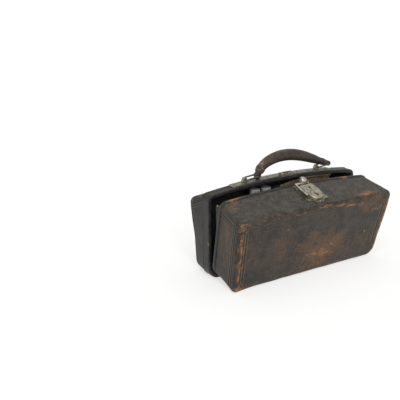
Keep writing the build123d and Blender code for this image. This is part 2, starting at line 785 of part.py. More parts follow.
with BuildPart() as lock_rivets:
    with BuildSketch(on_plate):
        with Locations((0, plate_top - LOCK_LENGTH / 2)):
            with GridLocations(0.8 * LOCK_WIDTH, 0.62 * LOCK_LENGTH, 2, 2):
                Circle(RIVET_RADIUS * 0.7)
        with Locations((0, plate_top - LOCK_LENGTH + RIVET_RADIUS * 1.4)):
            Circle(RIVET_RADIUS * 0.7)
    extrude(amount=RIVET_DOME)
    fillet(lock_rivets.faces().group_by(Axis(bend, lock_normal))[-1].edges(), RIVET_DOME / 2)

for piece, name in (
    (lock_plate, "lock_plate"),
    (lock_case, "lock_case"),
    (release_slide, "release_slide"),
    (slide_rails, "slide_rails"),
    (latch_ears, "latch_ears"),
    (latch, "latch"),
    (latch_spring, "latch_spring"),
    (lock_rivets, "lock_rivets"),
):
    write(piece, name, rest_angle)

# Vial rack on the floor of the back half
floor_z = back.base + lining_in
vial_y = rim_y + VIAL_SETBACK
cap_top = BACK_RIM_HEIGHT - CAP_HEADROOM
strip_level = cap_top - RACK_STRIP_DROP
vial_last_x = VIAL_FIRST_X + (VIAL_COUNT - 1) * VIAL_PITCH
rack_centre = (VIAL_FIRST_X + vial_last_x) / 2
rack_depth = 2 * (VIAL_SETBACK - FLAP_SETBACK - FLAP_SKIN - FLAP_CLEARANCE)
rack_length = vial_last_x - VIAL_FIRST_X + 2 * (VIAL_RADIUS + RACK_MARGIN)
vial_places = [VIAL_FIRST_X + k * VIAL_PITCH for k in range(VIAL_COUNT)]
vial_foot = floor_z + RACK_BASE_HEIGHT - SOCKET_DEPTH


def rack_bar(level, height, bore_level):
    """Bar of the rack, bored for the vials down to bore_level."""
    with BuildPart() as bar:
        with BuildSketch(Plane.XY.offset(level)):
            with Locations((rack_centre, vial_y)):
                RectangleRounded(rack_length, rack_depth, RACK_WALL)
        extrude(amount=height)
        with BuildSketch(Plane.XY.offset(bore_level)):
            with Locations([(x, vial_y) for x in vial_places]):
                Circle(VIAL_RADIUS + VIAL_CLEARANCE)
        extrude(amount=level + height - bore_level, mode=Mode.SUBTRACT)
    return bar


write(rack_bar(floor_z, RACK_BASE_HEIGHT, vial_foot), "rack_base")
write(rack_bar(strip_level, RACK_STRIP_HEIGHT, strip_level), "rack_strip")

for hand, sign in (("left", -1), ("right", 1)):
    with BuildPart() as rack_post:
        with BuildSketch(Plane.XY.offset(floor_z + RACK_BASE_HEIGHT)):
            with Locations((rack_centre + sign * (rack_length - RACK_MARGIN) / 2, vial_y)):
                Rectangle(RACK_MARGIN / 2, rack_depth / 2)
        extrude(amount=strip_level - floor_z - RACK_BASE_HEIGHT)
    write(rack_post, f"rack_post_{hand}")

cap_foot = cap_top - CAP_HEIGHT
vial_top = cap_top - 2 * CAP_BEAD - VIAL_WALL
for number, x in enumerate(vial_places, start=1):
    with BuildPart() as vial:
        with BuildSketch(Plane.XY.offset(vial_foot)):
            with Locations((x, vial_y)):
                Circle(VIAL_RADIUS)
        extrude(amount=vial_top - vial_foot)
        fillet(vial.faces().sort_by(Axis.Z)[0].edges(), VIAL_RADIUS / 3)
        with BuildSketch(Plane.XY.offset(vial_foot + 2 * VIAL_WALL)):
            with Locations((x, vial_y)):
                Circle(VIAL_RADIUS - VIAL_WALL)
        extrude(amount=vial_top - vial_foot, mode=Mode.SUBTRACT)
    write(vial, f"vial_{number}")

    with BuildPart() as cap:
        with BuildSketch(Plane(origin=(x, vial_y, 0), x_dir=(1, 0, 0), z_dir=(0, -1, 0))):
            with BuildLine():
                Polyline(
                    (0, vial_top),
                    (VIAL_RADIUS, vial_top),
                    (VIAL_RADIUS, cap_foot),
                    (CAP_RADIUS, cap_foot),
                    (CAP_RADIUS, cap_foot + 0.3 * CAP_HEIGHT),
                    (CAP_RADIUS - CAP_BEAD, cap_foot + 0.4 * CAP_HEIGHT),
                    (CAP_RADIUS, cap_foot + 0.5 * CAP_HEIGHT),
                    (CAP_RADIUS, cap_top - CAP_BEAD),
                    (CAP_RADIUS - CAP_BEAD, cap_top),
                    (0, cap_top),
                    close=True,
                )
            make_face()
        revolve(axis=Axis((x, vial_y, 0), (0, 0, 1)))
    write(cap, f"vial_cap_{number}")

# Retaining flap in front of the vials on the right
flap_y = rim_y + FLAP_SETBACK
flap_foot = strip_level - FLAP_HEM
flap_crest = back.rim_surface(FLAP_LEFT) - lining_in - FLAP_SAG
flap_rise = (FLAP_RIGHT - FLAP_LEFT) * sin(radians(FLAP_SLOPE))
with BuildPart() as vial_flap:
    with BuildSketch(Plane.XZ.offset(-flap_y)):
        with BuildLine():
            Polyline(
                (FLAP_LEFT, flap_foot),
                (FLAP_RIGHT, flap_foot),
                (FLAP_RIGHT, flap_crest + flap_rise),
                (FLAP_LEFT, flap_crest),
                close=True,
            )
        make_face()
    extrude(amount=FLAP_SKIN, dir=(0, 1, 0))
    add(back.rim_outline(FLAP_SETBACK, lining_in))
    extrude(amount=FLAP_SKIN, dir=(0, 1, 0), mode=Mode.INTERSECT)
    fillet(vial_flap.edges().filter_by(Axis.Y).group_by(Axis.Z)[0], 3 * FLAP_SKIN)

stud_z = strip_level + RACK_STRIP_HEIGHT / 2
with BuildPart() as flap_studs:
    with BuildSketch(Plane.XZ.offset(-flap_y)):
        with Locations((FLAP_LEFT + STUD_INSET, stud_z), (FLAP_RIGHT - STUD_INSET, stud_z)):
            Circle(STUD_RADIUS)
    extrude(amount=STUD_HEIGHT, dir=(0, -1, 0))
    fillet(flap_studs.faces().group_by(Axis.Y)[0].edges(), STUD_HEIGHT / 2)

write(vial_flap, "vial_flap")
write(flap_studs, "flap_studs")
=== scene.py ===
# Medical satchel: worn leather, lining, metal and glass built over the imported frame.
# Sizes are in millimetres in the part's own frame, and meshes are made in metres.
import json
from math import acos, atan2, cos, hypot, pi, radians, sin, sqrt, tan
from typing import NamedTuple

import bmesh
import bpy
import numpy as np
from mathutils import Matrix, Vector, noise


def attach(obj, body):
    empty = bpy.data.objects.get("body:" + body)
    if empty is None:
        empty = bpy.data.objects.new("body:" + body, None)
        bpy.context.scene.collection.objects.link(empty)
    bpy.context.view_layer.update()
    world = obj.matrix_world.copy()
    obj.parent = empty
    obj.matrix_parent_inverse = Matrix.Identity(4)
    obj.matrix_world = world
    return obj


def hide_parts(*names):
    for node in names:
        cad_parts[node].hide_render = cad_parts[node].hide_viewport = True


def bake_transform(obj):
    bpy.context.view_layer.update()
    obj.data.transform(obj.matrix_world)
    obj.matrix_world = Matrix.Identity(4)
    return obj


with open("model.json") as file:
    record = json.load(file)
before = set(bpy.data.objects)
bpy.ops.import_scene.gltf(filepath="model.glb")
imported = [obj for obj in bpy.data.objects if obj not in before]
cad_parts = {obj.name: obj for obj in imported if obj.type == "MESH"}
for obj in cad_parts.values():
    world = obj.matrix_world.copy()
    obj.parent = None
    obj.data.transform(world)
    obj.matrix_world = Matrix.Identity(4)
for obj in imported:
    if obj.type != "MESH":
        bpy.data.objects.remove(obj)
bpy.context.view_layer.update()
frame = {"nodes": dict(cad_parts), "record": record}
nodes = frame["nodes"]

MM = 0.001
HANDS = (("left", -1), ("right", 1))
CORNER_BOTTOM = 19.0
CORNER_TOP = 9.0
FACE_EDGE = 6.5
BAND = 1.0
HINGE_Y = -25.5
HINGE_LENGTH = 226.0


class Half(NamedTuple):
    """Outside of one half. Its rim and its face are given by bottom width, top width, height and arch."""

    body: str
    side: int
    rim_y: float
    base: float
    straight: float
    rim: tuple
    face: tuple
    depths: tuple
    face_corner: tuple
    lining_in: float


back = Half(
    body="back",
    side=1,
    rim_y=-23.0,
    base=-1.1,
    straight=18.0,
    rim=(270.0, 273.8, 124.1, 9.0),
    face=(257.4, 268.0, 111.1, 3.0),
    depths=(46.0, 51.7),
    face_corner=(17.0, 19.0),
    lining_in=5.4,
)
lid = Half(
    body="lid",
    side=-1,
    rim_y=-28.0,
    base=7.5,
    straight=6.0,
    rim=(267.7, 269.3, 114.0, 6.7),
    face=(264.6, 279.0, 110.0, 1.5),
    depths=(50.4, 56.0),
    face_corner=(7.0, 15.0),
    lining_in=4.4,
)

# The lid is built level and then tipped out to where its front edge rests
lean = (lid.depths[1] - lid.depths[0]) / lid.face[2]
edge_depth = lid.depths[0] + HINGE_Y - lid.rim_y + lean * FACE_EDGE - FACE_EDGE * hypot(1, lean)
REST = acos((FACE_EDGE - lid.base) / hypot(edge_depth, FACE_EDGE)) - atan2(edge_depth, FACE_EDGE)


def tip(points):
    """Points of the level lid, turned about the hinge to the rest pose."""
    y, z = points[:, 1] - HINGE_Y, points[:, 2] - lid.base
    turned = (HINGE_Y + y * cos(REST) - z * sin(REST), lid.base + y * sin(REST) + z * cos(REST))
    return np.column_stack([points[:, 0], *turned])


def unit(vectors):
    """Vectors scaled to length one."""
    return vectors / np.linalg.norm(vectors, axis=-1, keepdims=True)


def fall(distance, reach):
    """Soft fall from one at no distance."""
    return np.exp(-((distance / reach) ** 2))


def distances(path):
    """Distance along a path at each of its points."""
    return np.concatenate([[0], np.cumsum(np.linalg.norm(np.diff(path, axis=0), axis=1))])


def arch_radius(width, rise):
    """Radius of an arch of this width and rise."""
    return ((width / 2) ** 2 + rise**2) / (2 * rise)


def crest(half, x):
    """Height of the arched top of a half's rim."""
    _, top, height, arch = half.rim
    radius = arch_radius(top, arch)
    return half.base + height + arch - radius + sqrt(radius**2 - x**2)


# Tooled lines down the end walls, by their distance from the top corner
END_LINES = (3.2, 7.0)
# How many points there are along an outline's bottom, low corner, side, high corner and top
OUTLINE_COUNTS = (56, 14, 44, 12, 62)


def line_marks(tooled):
    """Places across tooled lines, with 1 in a line's groove and -1 on the ridge beside it."""
    steps = ((-1.1, 0.0), (-0.6, 1.0), (0.5, 1.0), (1.1, 0.0), (1.5, -1.0), (2.3, -1.0), (2.8, 0.0))
    return [(place + shift, depth) for place in tooled for shift, depth in steps]


def half_outline(bottom, top, height, arch, corner):
    """Points, outward normals and end lines from the middle of the bottom, up the right, to the top."""
    tilt = atan2((top - bottom) / 2, height)
    big = arch_radius(top, arch)
    middle = height + arch - big
    low = (bottom / 2 - corner * (1 - sin(tilt)) / cos(tilt), corner)
    start = bottom / 2 - CORNER_TOP / cos(tilt)
    a, b = tan(tilt) ** 2 + 1, 2 * (tan(tilt) * start - middle)
    c = start**2 + middle**2 - (big - CORNER_TOP) ** 2
    high_z = (sqrt(b * b - 4 * a * c) - b) / (2 * a)
    high = (tan(tilt) * high_z + start, high_z)
    turn = atan2(high_z - middle, high[0])

    def arc(centre, radius, first, last, count):
        angles = np.linspace(first, last, count)
        normal = np.column_stack([np.cos(angles), np.sin(angles)])
        return np.array(centre) + radius * normal, normal

    def line(first, last, normal, shares):
        points = np.outer(1 - shares, first) + np.outer(shares, last)
        return points, np.tile(normal, (len(shares), 1))

    side = np.array([cos(tilt), -sin(tilt)])
    foot, head = np.array(low) + corner * side, np.array(high) + CORNER_TOP * side
    length = np.linalg.norm(head - foot)
    counts = OUTLINE_COUNTS
    marks = {round(share, 5): 0.0 for share in np.linspace(0, 1, counts[2])}
    marks |= {round(1 - from_top / length, 5): depth for from_top, depth in line_marks(END_LINES)}
    shares = np.array(sorted(marks))
    parts = [
        line((0, 0), (low[0], 0), (0, -1), np.linspace(0, 1, counts[0])),
        arc(low, corner, -pi / 2, -tilt, counts[1]),
        line(foot, head, side, shares),
        arc(high, CORNER_TOP, -tilt, turn, counts[3]),
        arc((0, middle), big, turn, pi / 2, counts[4]),
    ]
    parts = [(points, normals, np.zeros(len(points))) for points, normals in parts]
    parts[2][2][:] = [marks[share] for share in shares]
    # Each part begins on the last point of the one before it
    trimmed = [[values[:-1] for values in part] for part in parts[:-1]] + [parts[-1]]
    return [np.concatenate(values) for values in zip(*trimmed)]


def outline(bottom, top, height, arch, corner=(CORNER_BOTTOM, CORNER_BOTTOM)):
    """Points, outward normals and end lines of a rounded outline with an arched top.

    It runs from the middle of the bottom round to the right. Corner points keep their normals, so that
    moving the points along them draws the outline in or out. The low corners are the left and right ones."""
    left, right = (half_outline(bottom, top, height, arch, radius) for radius in corner)
    mirrored = [values[-2:0:-1] for values in left]
    flip = np.array([-1, 1])
    return (
        np.vstack([right[0], mirrored[0] * flip]),
        np.vstack([right[1], mirrored[1] * flip]),
        np.concatenate([right[2], mirrored[2]]),
    )


def rim_ring(half, depth, inset):
    """Ring of points round the rim, this far in from it."""
    points, normals, _ = outline(*half.rim)
    flat = points - normals * inset
    y = np.full(len(flat), half.rim_y + half.side * depth)
    return np.column_stack([flat[:, 0], y, flat[:, 1] + half.base])


# Places across a cover: one by the rim, millimetres from its crease on both sides, then on to the middle
RIM_PLACE, EDGE_PLACE, MIDDLE_PLACE, MIDDLE_REACH = -50.0, 3.0, 12.0, 45.0


def cover_rings(half, inset, first, bulge=0.0, tooled=()):
    """Rings over a half from its rim to the middle of its face, with their places, grooves and end lines."""
    points, normals, end_lines = outline(*half.face, half.face_corner)
    up = unit(np.array([0.0, half.side * (half.depths[1] - half.depths[0]), half.face[2]]))
    across = np.array([1.0, 0.0, 0.0])
    origin = np.array([0.0, half.rim_y + half.side * (half.depths[0] - inset), half.base])

    def on_face(flat):
        return origin + np.outer(flat[:, 0], across) + np.outer(flat[:, 1], up)

    sharp = on_face(points - normals * inset)
    start = rim_ring(half, half.straight, inset)
    inward = -(np.outer(normals[:, 0], across) + np.outer(normals[:, 1], up))
    back_up = unit(start - sharp)
    angle = np.arccos((back_up * inward).sum(1))[:, None]
    radius = max(FACE_EDGE - inset, 1.0)
    reach = radius / np.tan(angle / 2)
    centre = sharp + unit(back_up + inward) * radius / np.sin(angle / 2)
    near, far = sharp + back_up * reach, sharp + inward * reach
    rings, places, grooves = [], [], []

    def keep(ring, place, groove=0.0):
        rings.append(ring)
        places.append(place)
        grooves.append(groove)

    # Straight part of the walls, then the rest of them down to the crease
    for depth in np.linspace(first, half.straight, max(2, int((half.straight - first) / 2.5)))[:-1]:
        keep(rim_ring(half, depth, inset), RIM_PLACE)
    length = np.linalg.norm(near - start, axis=1).mean()
    stops = {round(x, 3): 0.0 for x in np.linspace(length, 0, 17)}
    if tooled:
        stops = {place: depth for place, depth in stops.items() if place < 0.1 or place > tooled[-1] + 3}
    stops |= dict(line_marks(tooled))
    for place in sorted(stops, reverse=True):
        keep(near + (start - near) * place / length, -EDGE_PLACE - place, stops[place])
    # Round the crease
    one, two = unit(near - centre), unit(far - centre)
    swing = np.arccos((one * two).sum(1))[:, None]
    for share in np.linspace(0, 1, 9)[1:]:
        direction = (np.sin((1 - share) * swing) * one + np.sin(share * swing) * two) / np.sin(swing)
        keep(centre + radius * direction, (2 * share - 1) * EDGE_PLACE)
    # Border of the face, then the face to its middle
    stops = {0.8: 0.0, 9.6: 0.0} | dict(line_marks(tooled))
    for place in sorted(stops):
        keep(far + inward * place, EDGE_PLACE + place, stops[place])
    last = rings[-1]
    half_high = half.face[2] / 2
    middle_x = np.clip(points[:, 0], -half.face[0] / 2 + half_high, half.face[0] / 2 - half_high)
    middle = on_face(np.column_stack([middle_x, np.full(len(points), half_high)]))
    for share in np.linspace(0, 1, 17)[1:]:
        keep(last + (middle - last) * share, MIDDLE_PLACE + MIDDLE_REACH * share)
    face_out = np.cross(across, up) * -half.side
    low, high = sharp.min(0), sharp.max(0)
    for k, place in enumerate(places):
        if place > EDGE_PLACE:
            from_middle = np.abs((rings[k] - (low + high) / 2) / (high - low) * 2)[:, [0, 2]] ** 4
            rings[k] = rings[k] + np.outer(bulge * np.clip(1 - from_middle, 0, 1).prod(1), face_out)
    return rings, np.array(places), np.array(grooves), normals, end_lines


def add_object(name, data):
    """Object with this data, in the scene."""
    made = bpy.data.objects.new(name, data)
    bpy.context.scene.collection.objects.link(made)
    return made


def make_mesh(name, points, faces):
    """Object with a smooth mesh, from points in millimetres."""
    mesh = bpy.data.meshes.new(name)
    mesh.from_pydata((np.asarray(points) * MM).tolist(), [], faces)
    mesh.update()
    mesh.polygons.foreach_set("use_smooth", [True] * len(mesh.polygons))
    return add_object(name, mesh)


def ring_faces(count, rings, closed=True):
    """Faces between neighbouring rings of count points each."""
    around = count if closed else count - 1
    return [
        (r * count + i, r * count + (i + 1) % count, (r + 1) * count + (i + 1) % count, (r + 1) * count + i)
        for r in range(rings - 1)
        for i in range(around)
    ]


def outward(made, inside=False):
    """Turn every face of a shell outwards, or inwards for a lining."""
    work = bmesh.new()
    work.from_mesh(made.data)
    bmesh.ops.remove_doubles(work, verts=work.verts, dist=2e-6)
    bmesh.ops.recalc_face_normals(work, faces=work.faces)
    middle = sum((f.calc_center_median() for f in work.faces), Vector()) / len(work.faces)
    facing = sum((f.calc_center_median() - middle).dot(f.normal) * f.calc_area() for f in work.faces)
    if (facing < 0) != inside:
        bmesh.ops.reverse_faces(work, faces=work.faces)
    work.to_mesh(made.data)
    work.free()
    made.data.polygons.foreach_set("use_smooth", [True] * len(made.data.polygons))


def positions(made):
    """Vertex positions in millimetres."""
    co = np.zeros(len(made.data.vertices) * 3)
    made.data.vertices.foreach_get("co", co)
    return co.reshape(-1, 3) / MM


def vertex_normals(made):
    """Vertex normals."""
    values = np.zeros(len(made.data.vertices) * 3)
    made.data.vertices.foreach_get("normal", values)
    return values.reshape(-1, 3)


def place_vertices(made, points):
    """Move the vertices to points in millimetres."""
    made.data.vertices.foreach_set("co", (points * MM).ravel())
    made.data.update()


def field(points, size, seed):
    """Smooth noise between -1 and 1 at each point, with features of this size."""
    shift = Vector((seed, 1.7 * seed, -seed))
    return np.array([noise.noise(Vector(p) / size + shift) for p in points])


def set_value(made, name, values):
    """Store a number on each vertex, or the same one on all, for the material to read."""
    layer = made.data.attributes.new(name, "FLOAT", "POINT")
    values = np.broadcast_to(np.clip(values, 0, 1), len(made.data.vertices))
    layer.data.foreach_set("value", values.astype(np.float32))


def patches(points, spots):
    """Strongest soft spot at each point, from (x, y, z, radius x, radius y, radius z, strength)."""
    total = np.zeros(len(points))
    for x, y, z, rx, ry, rz, strength in spots:
        away = ((points - (x, y, z)) / (rx, ry, rz)) ** 2
        total = np.maximum(total, strength * np.exp(-away.sum(1)))
    return total


def thicken(made, thickness, offset=0.0):
    """Give a sheet its thickness."""
    thick = made.modifiers.new("thickness", "SOLIDIFY")
    thick.thickness = thickness * MM
    thick.offset = offset


# Materials
def new_material(name):
    """New node material, its shader and calls for its nodes."""
    made = bpy.data.materials.new(name)
    made.use_nodes = True
    return made, made.node_tree.nodes["Principled BSDF"], Nodes(made.node_tree)


class Nodes:
    """Short calls for the nodes that the materials share."""

    def __init__(self, tree):
        self.tree = tree
        self.coordinates = tree.nodes.new("ShaderNodeTexCoord").outputs

    def link(self, value, socket):
        if isinstance(value, bpy.types.NodeSocket):
            self.tree.links.new(value, socket)
        else:
            socket.default_value = value

    def fill(self, node, inputs):
        """Set or link a node's inputs by their names."""
        for name, value in inputs.items():
            self.link(value, node.inputs[name])
        return node

    def add(self, kind, inputs, **settings):
        """New node with these settings, and its inputs set or linked."""
        node = self.tree.nodes.new(f"ShaderNode{kind}")
        for name, value in settings.items():
            setattr(node, name, value)
        return self.fill(node, inputs)

    def noise(self, size, detail, rough=0.55, stretch=(1, 1, 1), warp=0.0):
        mapping = self.add("Mapping", {"Scale": stretch, "Vector": self.coordinates["Object"]})
        inputs = {"Scale": 1 / (size * MM), "Detail": detail, "Roughness": rough, "Distortion": warp}
        return self.add("TexNoise", inputs | {"Vector": mapping.outputs["Vector"]}).outputs["Fac"]

    def cells(self, size):
        """Distance from the edges between cells of this size."""
        inputs = {"Scale": 1 / (size * MM), "Vector": self.coordinates["Object"]}
        return self.add("TexVoronoi", inputs, feature="DISTANCE_TO_EDGE").outputs["Distance"]

    def value(self, name):
        return self.add("Attribute", {}, attribute_name=name).outputs["Fac"]

    def math(self, kind, a, b=0.0, c=0.0):
        return self.add("Math", {0: a, 1: b, 2: c}, operation=kind).outputs[0]

    def sum(self, *terms, offset=0.0):
        total = offset
        for value, share in terms:
            total = self.math("MULTIPLY_ADD", value, share, total)
        return total

    def ramp(self, value, low, high, to_low=0.0, to_high=1.0):
        inputs = {"Value": value, "From Min": low, "From Max": high, "To Min": to_low, "To Max": to_high}
        return self.add("MapRange", inputs, interpolation_type="SMOOTHSTEP").outputs["Result"]

    def mix(self, share, a, b):
        node = self.add("Mix", {"Factor": share}, data_type="RGBA")
        sockets = {socket.name: socket for socket in node.inputs if socket.type == "RGBA"}
        for colour, name in ((a, "A"), (b, "B")):
            self.link(colour if isinstance(colour, bpy.types.NodeSocket) else (*colour, 1.0), sockets[name])
        return next(socket for socket in node.outputs if socket.type == "RGBA")

    def up(self):
        """How far the surface faces upwards at rest, from -1 to 1."""
        return self.add("SeparateXYZ", {0: self.coordinates["Normal"]}).outputs["Z"]

    def bump(self, height, distance, strength, under=None):
        node = self.add("Bump", {"Height": height, "Distance": distance * MM, "Strength": strength})
        if under is not None:
            self.link(under, node.inputs["Normal"])
        return node.outputs["Normal"]


# Ridge colour: dust and painted highlight on the ridges beside tooled lines. Groove colour: dirt and painted
# shade in tooled grooves, and painted shade on the bands' inside fronts.
RIDGE_DUST_AND_HIGHLIGHT = (0.13, 0.115, 0.085)
GROOVE_DIRT_AND_SHADE = (0.012, 0.011, 0.01)


def leather(
    name, dark, pale, brown, tan_colour, grain=0.9, rough=(0.42, 0.62), browning=0.5, dusty=None, creases=1.0
):
    """Worn leather: mottled dark colour, brown rubbed areas, tan where the surface has worn through."""
    made, shader, n = new_material(name)
    cloudy = n.noise(26, 5.0, 0.6, warp=0.4)
    speckle = n.noise(1.8, 5.0, 0.65)
    tone = n.sum((cloudy, 0.4), (n.noise(6.5, 5.0, 0.62, warp=0.6), 0.35), (speckle, 0.35), offset=-0.05)
    colour = n.mix(n.ramp(tone, 0.43, 0.57), dark, pale)
    if dusty:
        level = n.ramp(n.up(), 0.35, 0.95)
        dust = n.sum((level, 0.75), (n.noise(8, 6.0, 0.7), 3.0), (speckle, 2.4), offset=-3.05)
        colour = n.mix(n.ramp(dust, 0.0, 1.1), colour, dusty)
    rubbed = n.sum((n.value("brown"), 1.0), (n.noise(14, 6.0, 0.65), 2.2), (speckle, 1.7), offset=-1.95)
    colour = n.mix(n.ramp(rubbed, 0.25, 0.95, 0.0, browning), colour, brown)
    # Wear runs in streaks, up and down on upright walls and along the others
    upright = n.value("upright")
    running = n.noise(3.2, 6.0, 0.7, stretch=(0.25, 1, 1))
    streaks = n.math("MULTIPLY", n.noise(2.4, 5.0, 0.6, stretch=(1, 1, 0.09)), upright)
    streaks = n.math("SUBTRACT", n.math("ADD", streaks, running), n.math("MULTIPLY", running, upright))
    ragged = n.noise(5.5, 7.0, 0.72)
    worn = n.sum((n.value("wear"), 1.0), (streaks, 2.0), (ragged, 1.8), (speckle, 1.3), offset=-2.55)
    hard = n.ramp(worn, 0.6, 1.0, 0.0, 0.85)
    colour = n.mix(n.ramp(worn, 0.25, 0.85, 0.0, 0.65), colour, brown)
    colour = n.mix(hard, colour, tan_colour)
    # Scratches lie where a wide warped noise crosses its middle
    scored = n.noise(30, 2.0, 0.5, stretch=(1.3, 1, 0.5), warp=2.5)
    scratches = n.math("SUBTRACT", n.ramp(scored, 0.497, 0.5), n.ramp(scored, 0.5, 0.503))
    colour = n.mix(n.math("MULTIPLY", scratches, 0.3), colour, brown)
    # Ridges are painted pale, dust and painted highlight; grooves dark, dirt and painted shade; the bands'
    # inside fronts get painted shade through the groove value
    colour = n.mix(n.math("MULTIPLY", n.value("ridge"), 0.6), colour, RIDGE_DUST_AND_HIGHLIGHT)
    colour = n.mix(n.math("MULTIPLY", n.value("groove"), 0.85), colour, GROOVE_DIRT_AND_SHADE)
    roughness = n.math("ADD", n.ramp(tone, 0.36, 0.64, *rough), n.math("MULTIPLY", hard, 0.2))
    folds = n.noise(5.0, 4.0, 0.6, stretch=(0.6, 1.0, 1.3), warp=0.8)
    normal = n.bump(n.ramp(n.cells(grain), 0.0, 0.35), 0.12, 0.55)
    normal = n.bump(folds, 0.25, 0.2 * creases, normal)
    normal = n.bump(n.math("MULTIPLY", hard, -1.0), 0.15, 0.6, normal)
    inputs = {"Base Color": colour, "Roughness": roughness, "Specular IOR Level": 0.3, "Normal": normal}
    n.fill(shader, inputs)
    return made


def metal(name, bright, dull, stain, rough, stained, metallic=1.0, stretch=(1, 1, 1)):
    """Aged plated metal: dull patches, dark stains and fine scratches."""
    made, shader, n = new_material(name)
    cloudy = n.noise(5.0, 6.0, 0.62)
    colour = n.mix(n.ramp(cloudy, 0.35, 0.7), bright, dull)
    spots = n.ramp(n.noise(1.6, 6.0, 0.7, stretch=stretch), 0.5, 0.66, 0.0, stained)
    colour = n.mix(spots, colour, stain)
    roughness = n.math("ADD", n.ramp(cloudy, 0.3, 0.75, *rough), n.math("MULTIPLY", spots, 0.25))
    scratches = n.noise(0.5, 3.0, 0.6, stretch=(0.12, 1.0, 1.0))
    normal = n.bump(scratches, 0.02, 0.4, n.bump(cloudy, 0.08, 0.35))
    n.fill(shader, {"Base Color": colour, "Metallic": metallic, "Roughness": roughness, "Normal": normal})
    return made


def cloth(name, dark, pale):
    """Plain woven lining."""
    made, shader, n = new_material(name)
    threads = []
    for axis in ("X", "Z", "Y"):
        inputs = {"Scale": 0.3 / (0.9 * MM), "Distortion": 0.6, "Vector": n.coordinates["Object"]}
        threads.append(n.add("TexWave", inputs, bands_direction=axis).outputs["Fac"])
    weave = n.math("MAXIMUM", n.math("MULTIPLY", threads[0], threads[1]), threads[2])
    colour = n.mix(n.ramp(n.noise(18, 4.0), 0.35, 0.7), dark, pale)
    colour = n.mix(n.ramp(weave, 0.2, 0.9, 0.35, 0.0), colour, dark)
    normal = n.bump(weave, 0.08, 0.6, n.bump(n.noise(9.0, 3.0), 0.4, 0.4))
    n.fill(shader, {"Base Color": colour, "Roughness": 0.88, "Sheen Weight": 0.15, "Normal": normal})
    return made


def grained(name, dark, pale, size, stretch, rough=0.55):
    """Wood or pressed board with a running grain."""
    made, shader, n = new_material(name)
    fibres = n.noise(size, 6.0, 0.65, stretch=stretch, warp=0.5)
    colour = n.mix(n.ramp(fibres, 0.3, 0.7), dark, pale)
    colour = n.mix(n.ramp(n.noise(12, 4.0), 0.5, 0.8, 0.0, 0.4), colour, dark)
    n.fill(shader, {"Base Color": colour, "Roughness": rough, "Normal": n.bump(fibres, 0.15, 0.5)})
    return made


def old_glass(name):
    """Clear slightly green glass with faint bloom."""
    made, shader, n = new_material(name)
    colour = n.mix(n.ramp(n.noise(6, 5.0), 0.45, 0.8), (0.86, 0.92, 0.88), (0.7, 0.76, 0.7))
    roughness = n.ramp(n.noise(3, 4.0), 0.4, 0.8, 0.04, 0.22)
    n.fill(shader, {"Base Color": colour, "Roughness": roughness, "Transmission Weight": 0.92, "IOR": 1.47})
    n.link(n.bump(n.noise(8, 2.0), 0.05, 0.3), shader.inputs["Normal"])
    return made


TAN = (0.33, 0.165, 0.06)
BROWN = (0.15, 0.08, 0.038)
# Dark, pale, rubbed and worn-through colours, and what else differs
LEATHERS = {
    "case_leather": ((0.024, 0.02, 0.017), (0.06, 0.049, 0.04), BROWN, TAN, {"dusty": (0.085, 0.079, 0.066)}),
    "back_leather": ((0.01, 0.0098, 0.0095), (0.03, 0.0285, 0.027), BROWN, TAN, {"browning": 0.3}),
    "band_leather": (
        (0.011, 0.011, 0.0115),
        (0.031, 0.0305, 0.03),
        (0.07, 0.045, 0.03),
        TAN,
        {"grain": 0.7, "rough": (0.32, 0.48), "browning": 0.25},
    ),
    "wing_leather": (
        (0.03, 0.033, 0.028),
        (0.06, 0.062, 0.05),
        (0.09, 0.075, 0.045),
        (0.36, 0.34, 0.24),
        {"grain": 0.8},
    ),
    "flap_leather": (
        (0.07, 0.052, 0.03),
        (0.17, 0.13, 0.075),
        (0.13, 0.085, 0.045),
        (0.3, 0.24, 0.15),
        {"grain": 0.8, "rough": (0.5, 0.65), "browning": 0.4, "creases": 3.0},
    ),
    "grip_leather": (
        (0.026, 0.019, 0.017),
        (0.055, 0.041, 0.036),
        (0.1, 0.065, 0.045),
        (0.3, 0.2, 0.095),
        {"grain": 0.6, "rough": (0.36, 0.5), "browning": 0.3},
    ),
    "thread": ((0.03, 0.026, 0.02), (0.07, 0.055, 0.04), BROWN, TAN, {"grain": 0.3}),
}
# Bright, dull and stain colours, roughness, share stained, then how metallic and how the stains stretch
METALS = {
    "aged_nickel": ((0.52, 0.48, 0.38), (0.27, 0.25, 0.2), (0.06, 0.052, 0.035), (0.34, 0.5), 0.75),
    "bright_metal": ((0.68, 0.65, 0.58), (0.4, 0.38, 0.32), (0.1, 0.09, 0.065), (0.24, 0.38), 0.5),
    # Stains run in narrow bands round the caps: partly stains, partly painted shade and highlight lines
    # standing for the rolled beads
    "cap_metal": (
        (0.8, 0.79, 0.75),
        (0.5, 0.49, 0.46),
        (0.06, 0.056, 0.05),
        (0.2, 0.34),
        0.9,
        0.4,
        (0.06, 0.06, 0.8),
    ),
    # Near-black copy of the cap metal: painted shade on the vial caps that sit in shadow
    "painted_shade_cap_metal": (
        (0.05, 0.048, 0.044),
        (0.03, 0.029, 0.027),
        (0.015, 0.014, 0.012),
        (0.35, 0.5),
        0.6,
        0.6,
    ),
    "lock_plate_metal": ((0.34, 0.325, 0.25), (0.19, 0.185, 0.14), (0.03, 0.028, 0.02), (0.36, 0.52), 0.8),
    "plate_metal": ((0.44, 0.42, 0.36), (0.26, 0.25, 0.2), (0.04, 0.036, 0.028), (0.32, 0.48), 0.85),
    "link_metal": ((0.2, 0.19, 0.17), (0.1, 0.095, 0.085), (0.03, 0.026, 0.02), (0.34, 0.5), 0.7),
    "steel": ((0.42, 0.41, 0.4), (0.3, 0.29, 0.28), (0.13, 0.09, 0.06), (0.35, 0.5), 0.6),
}
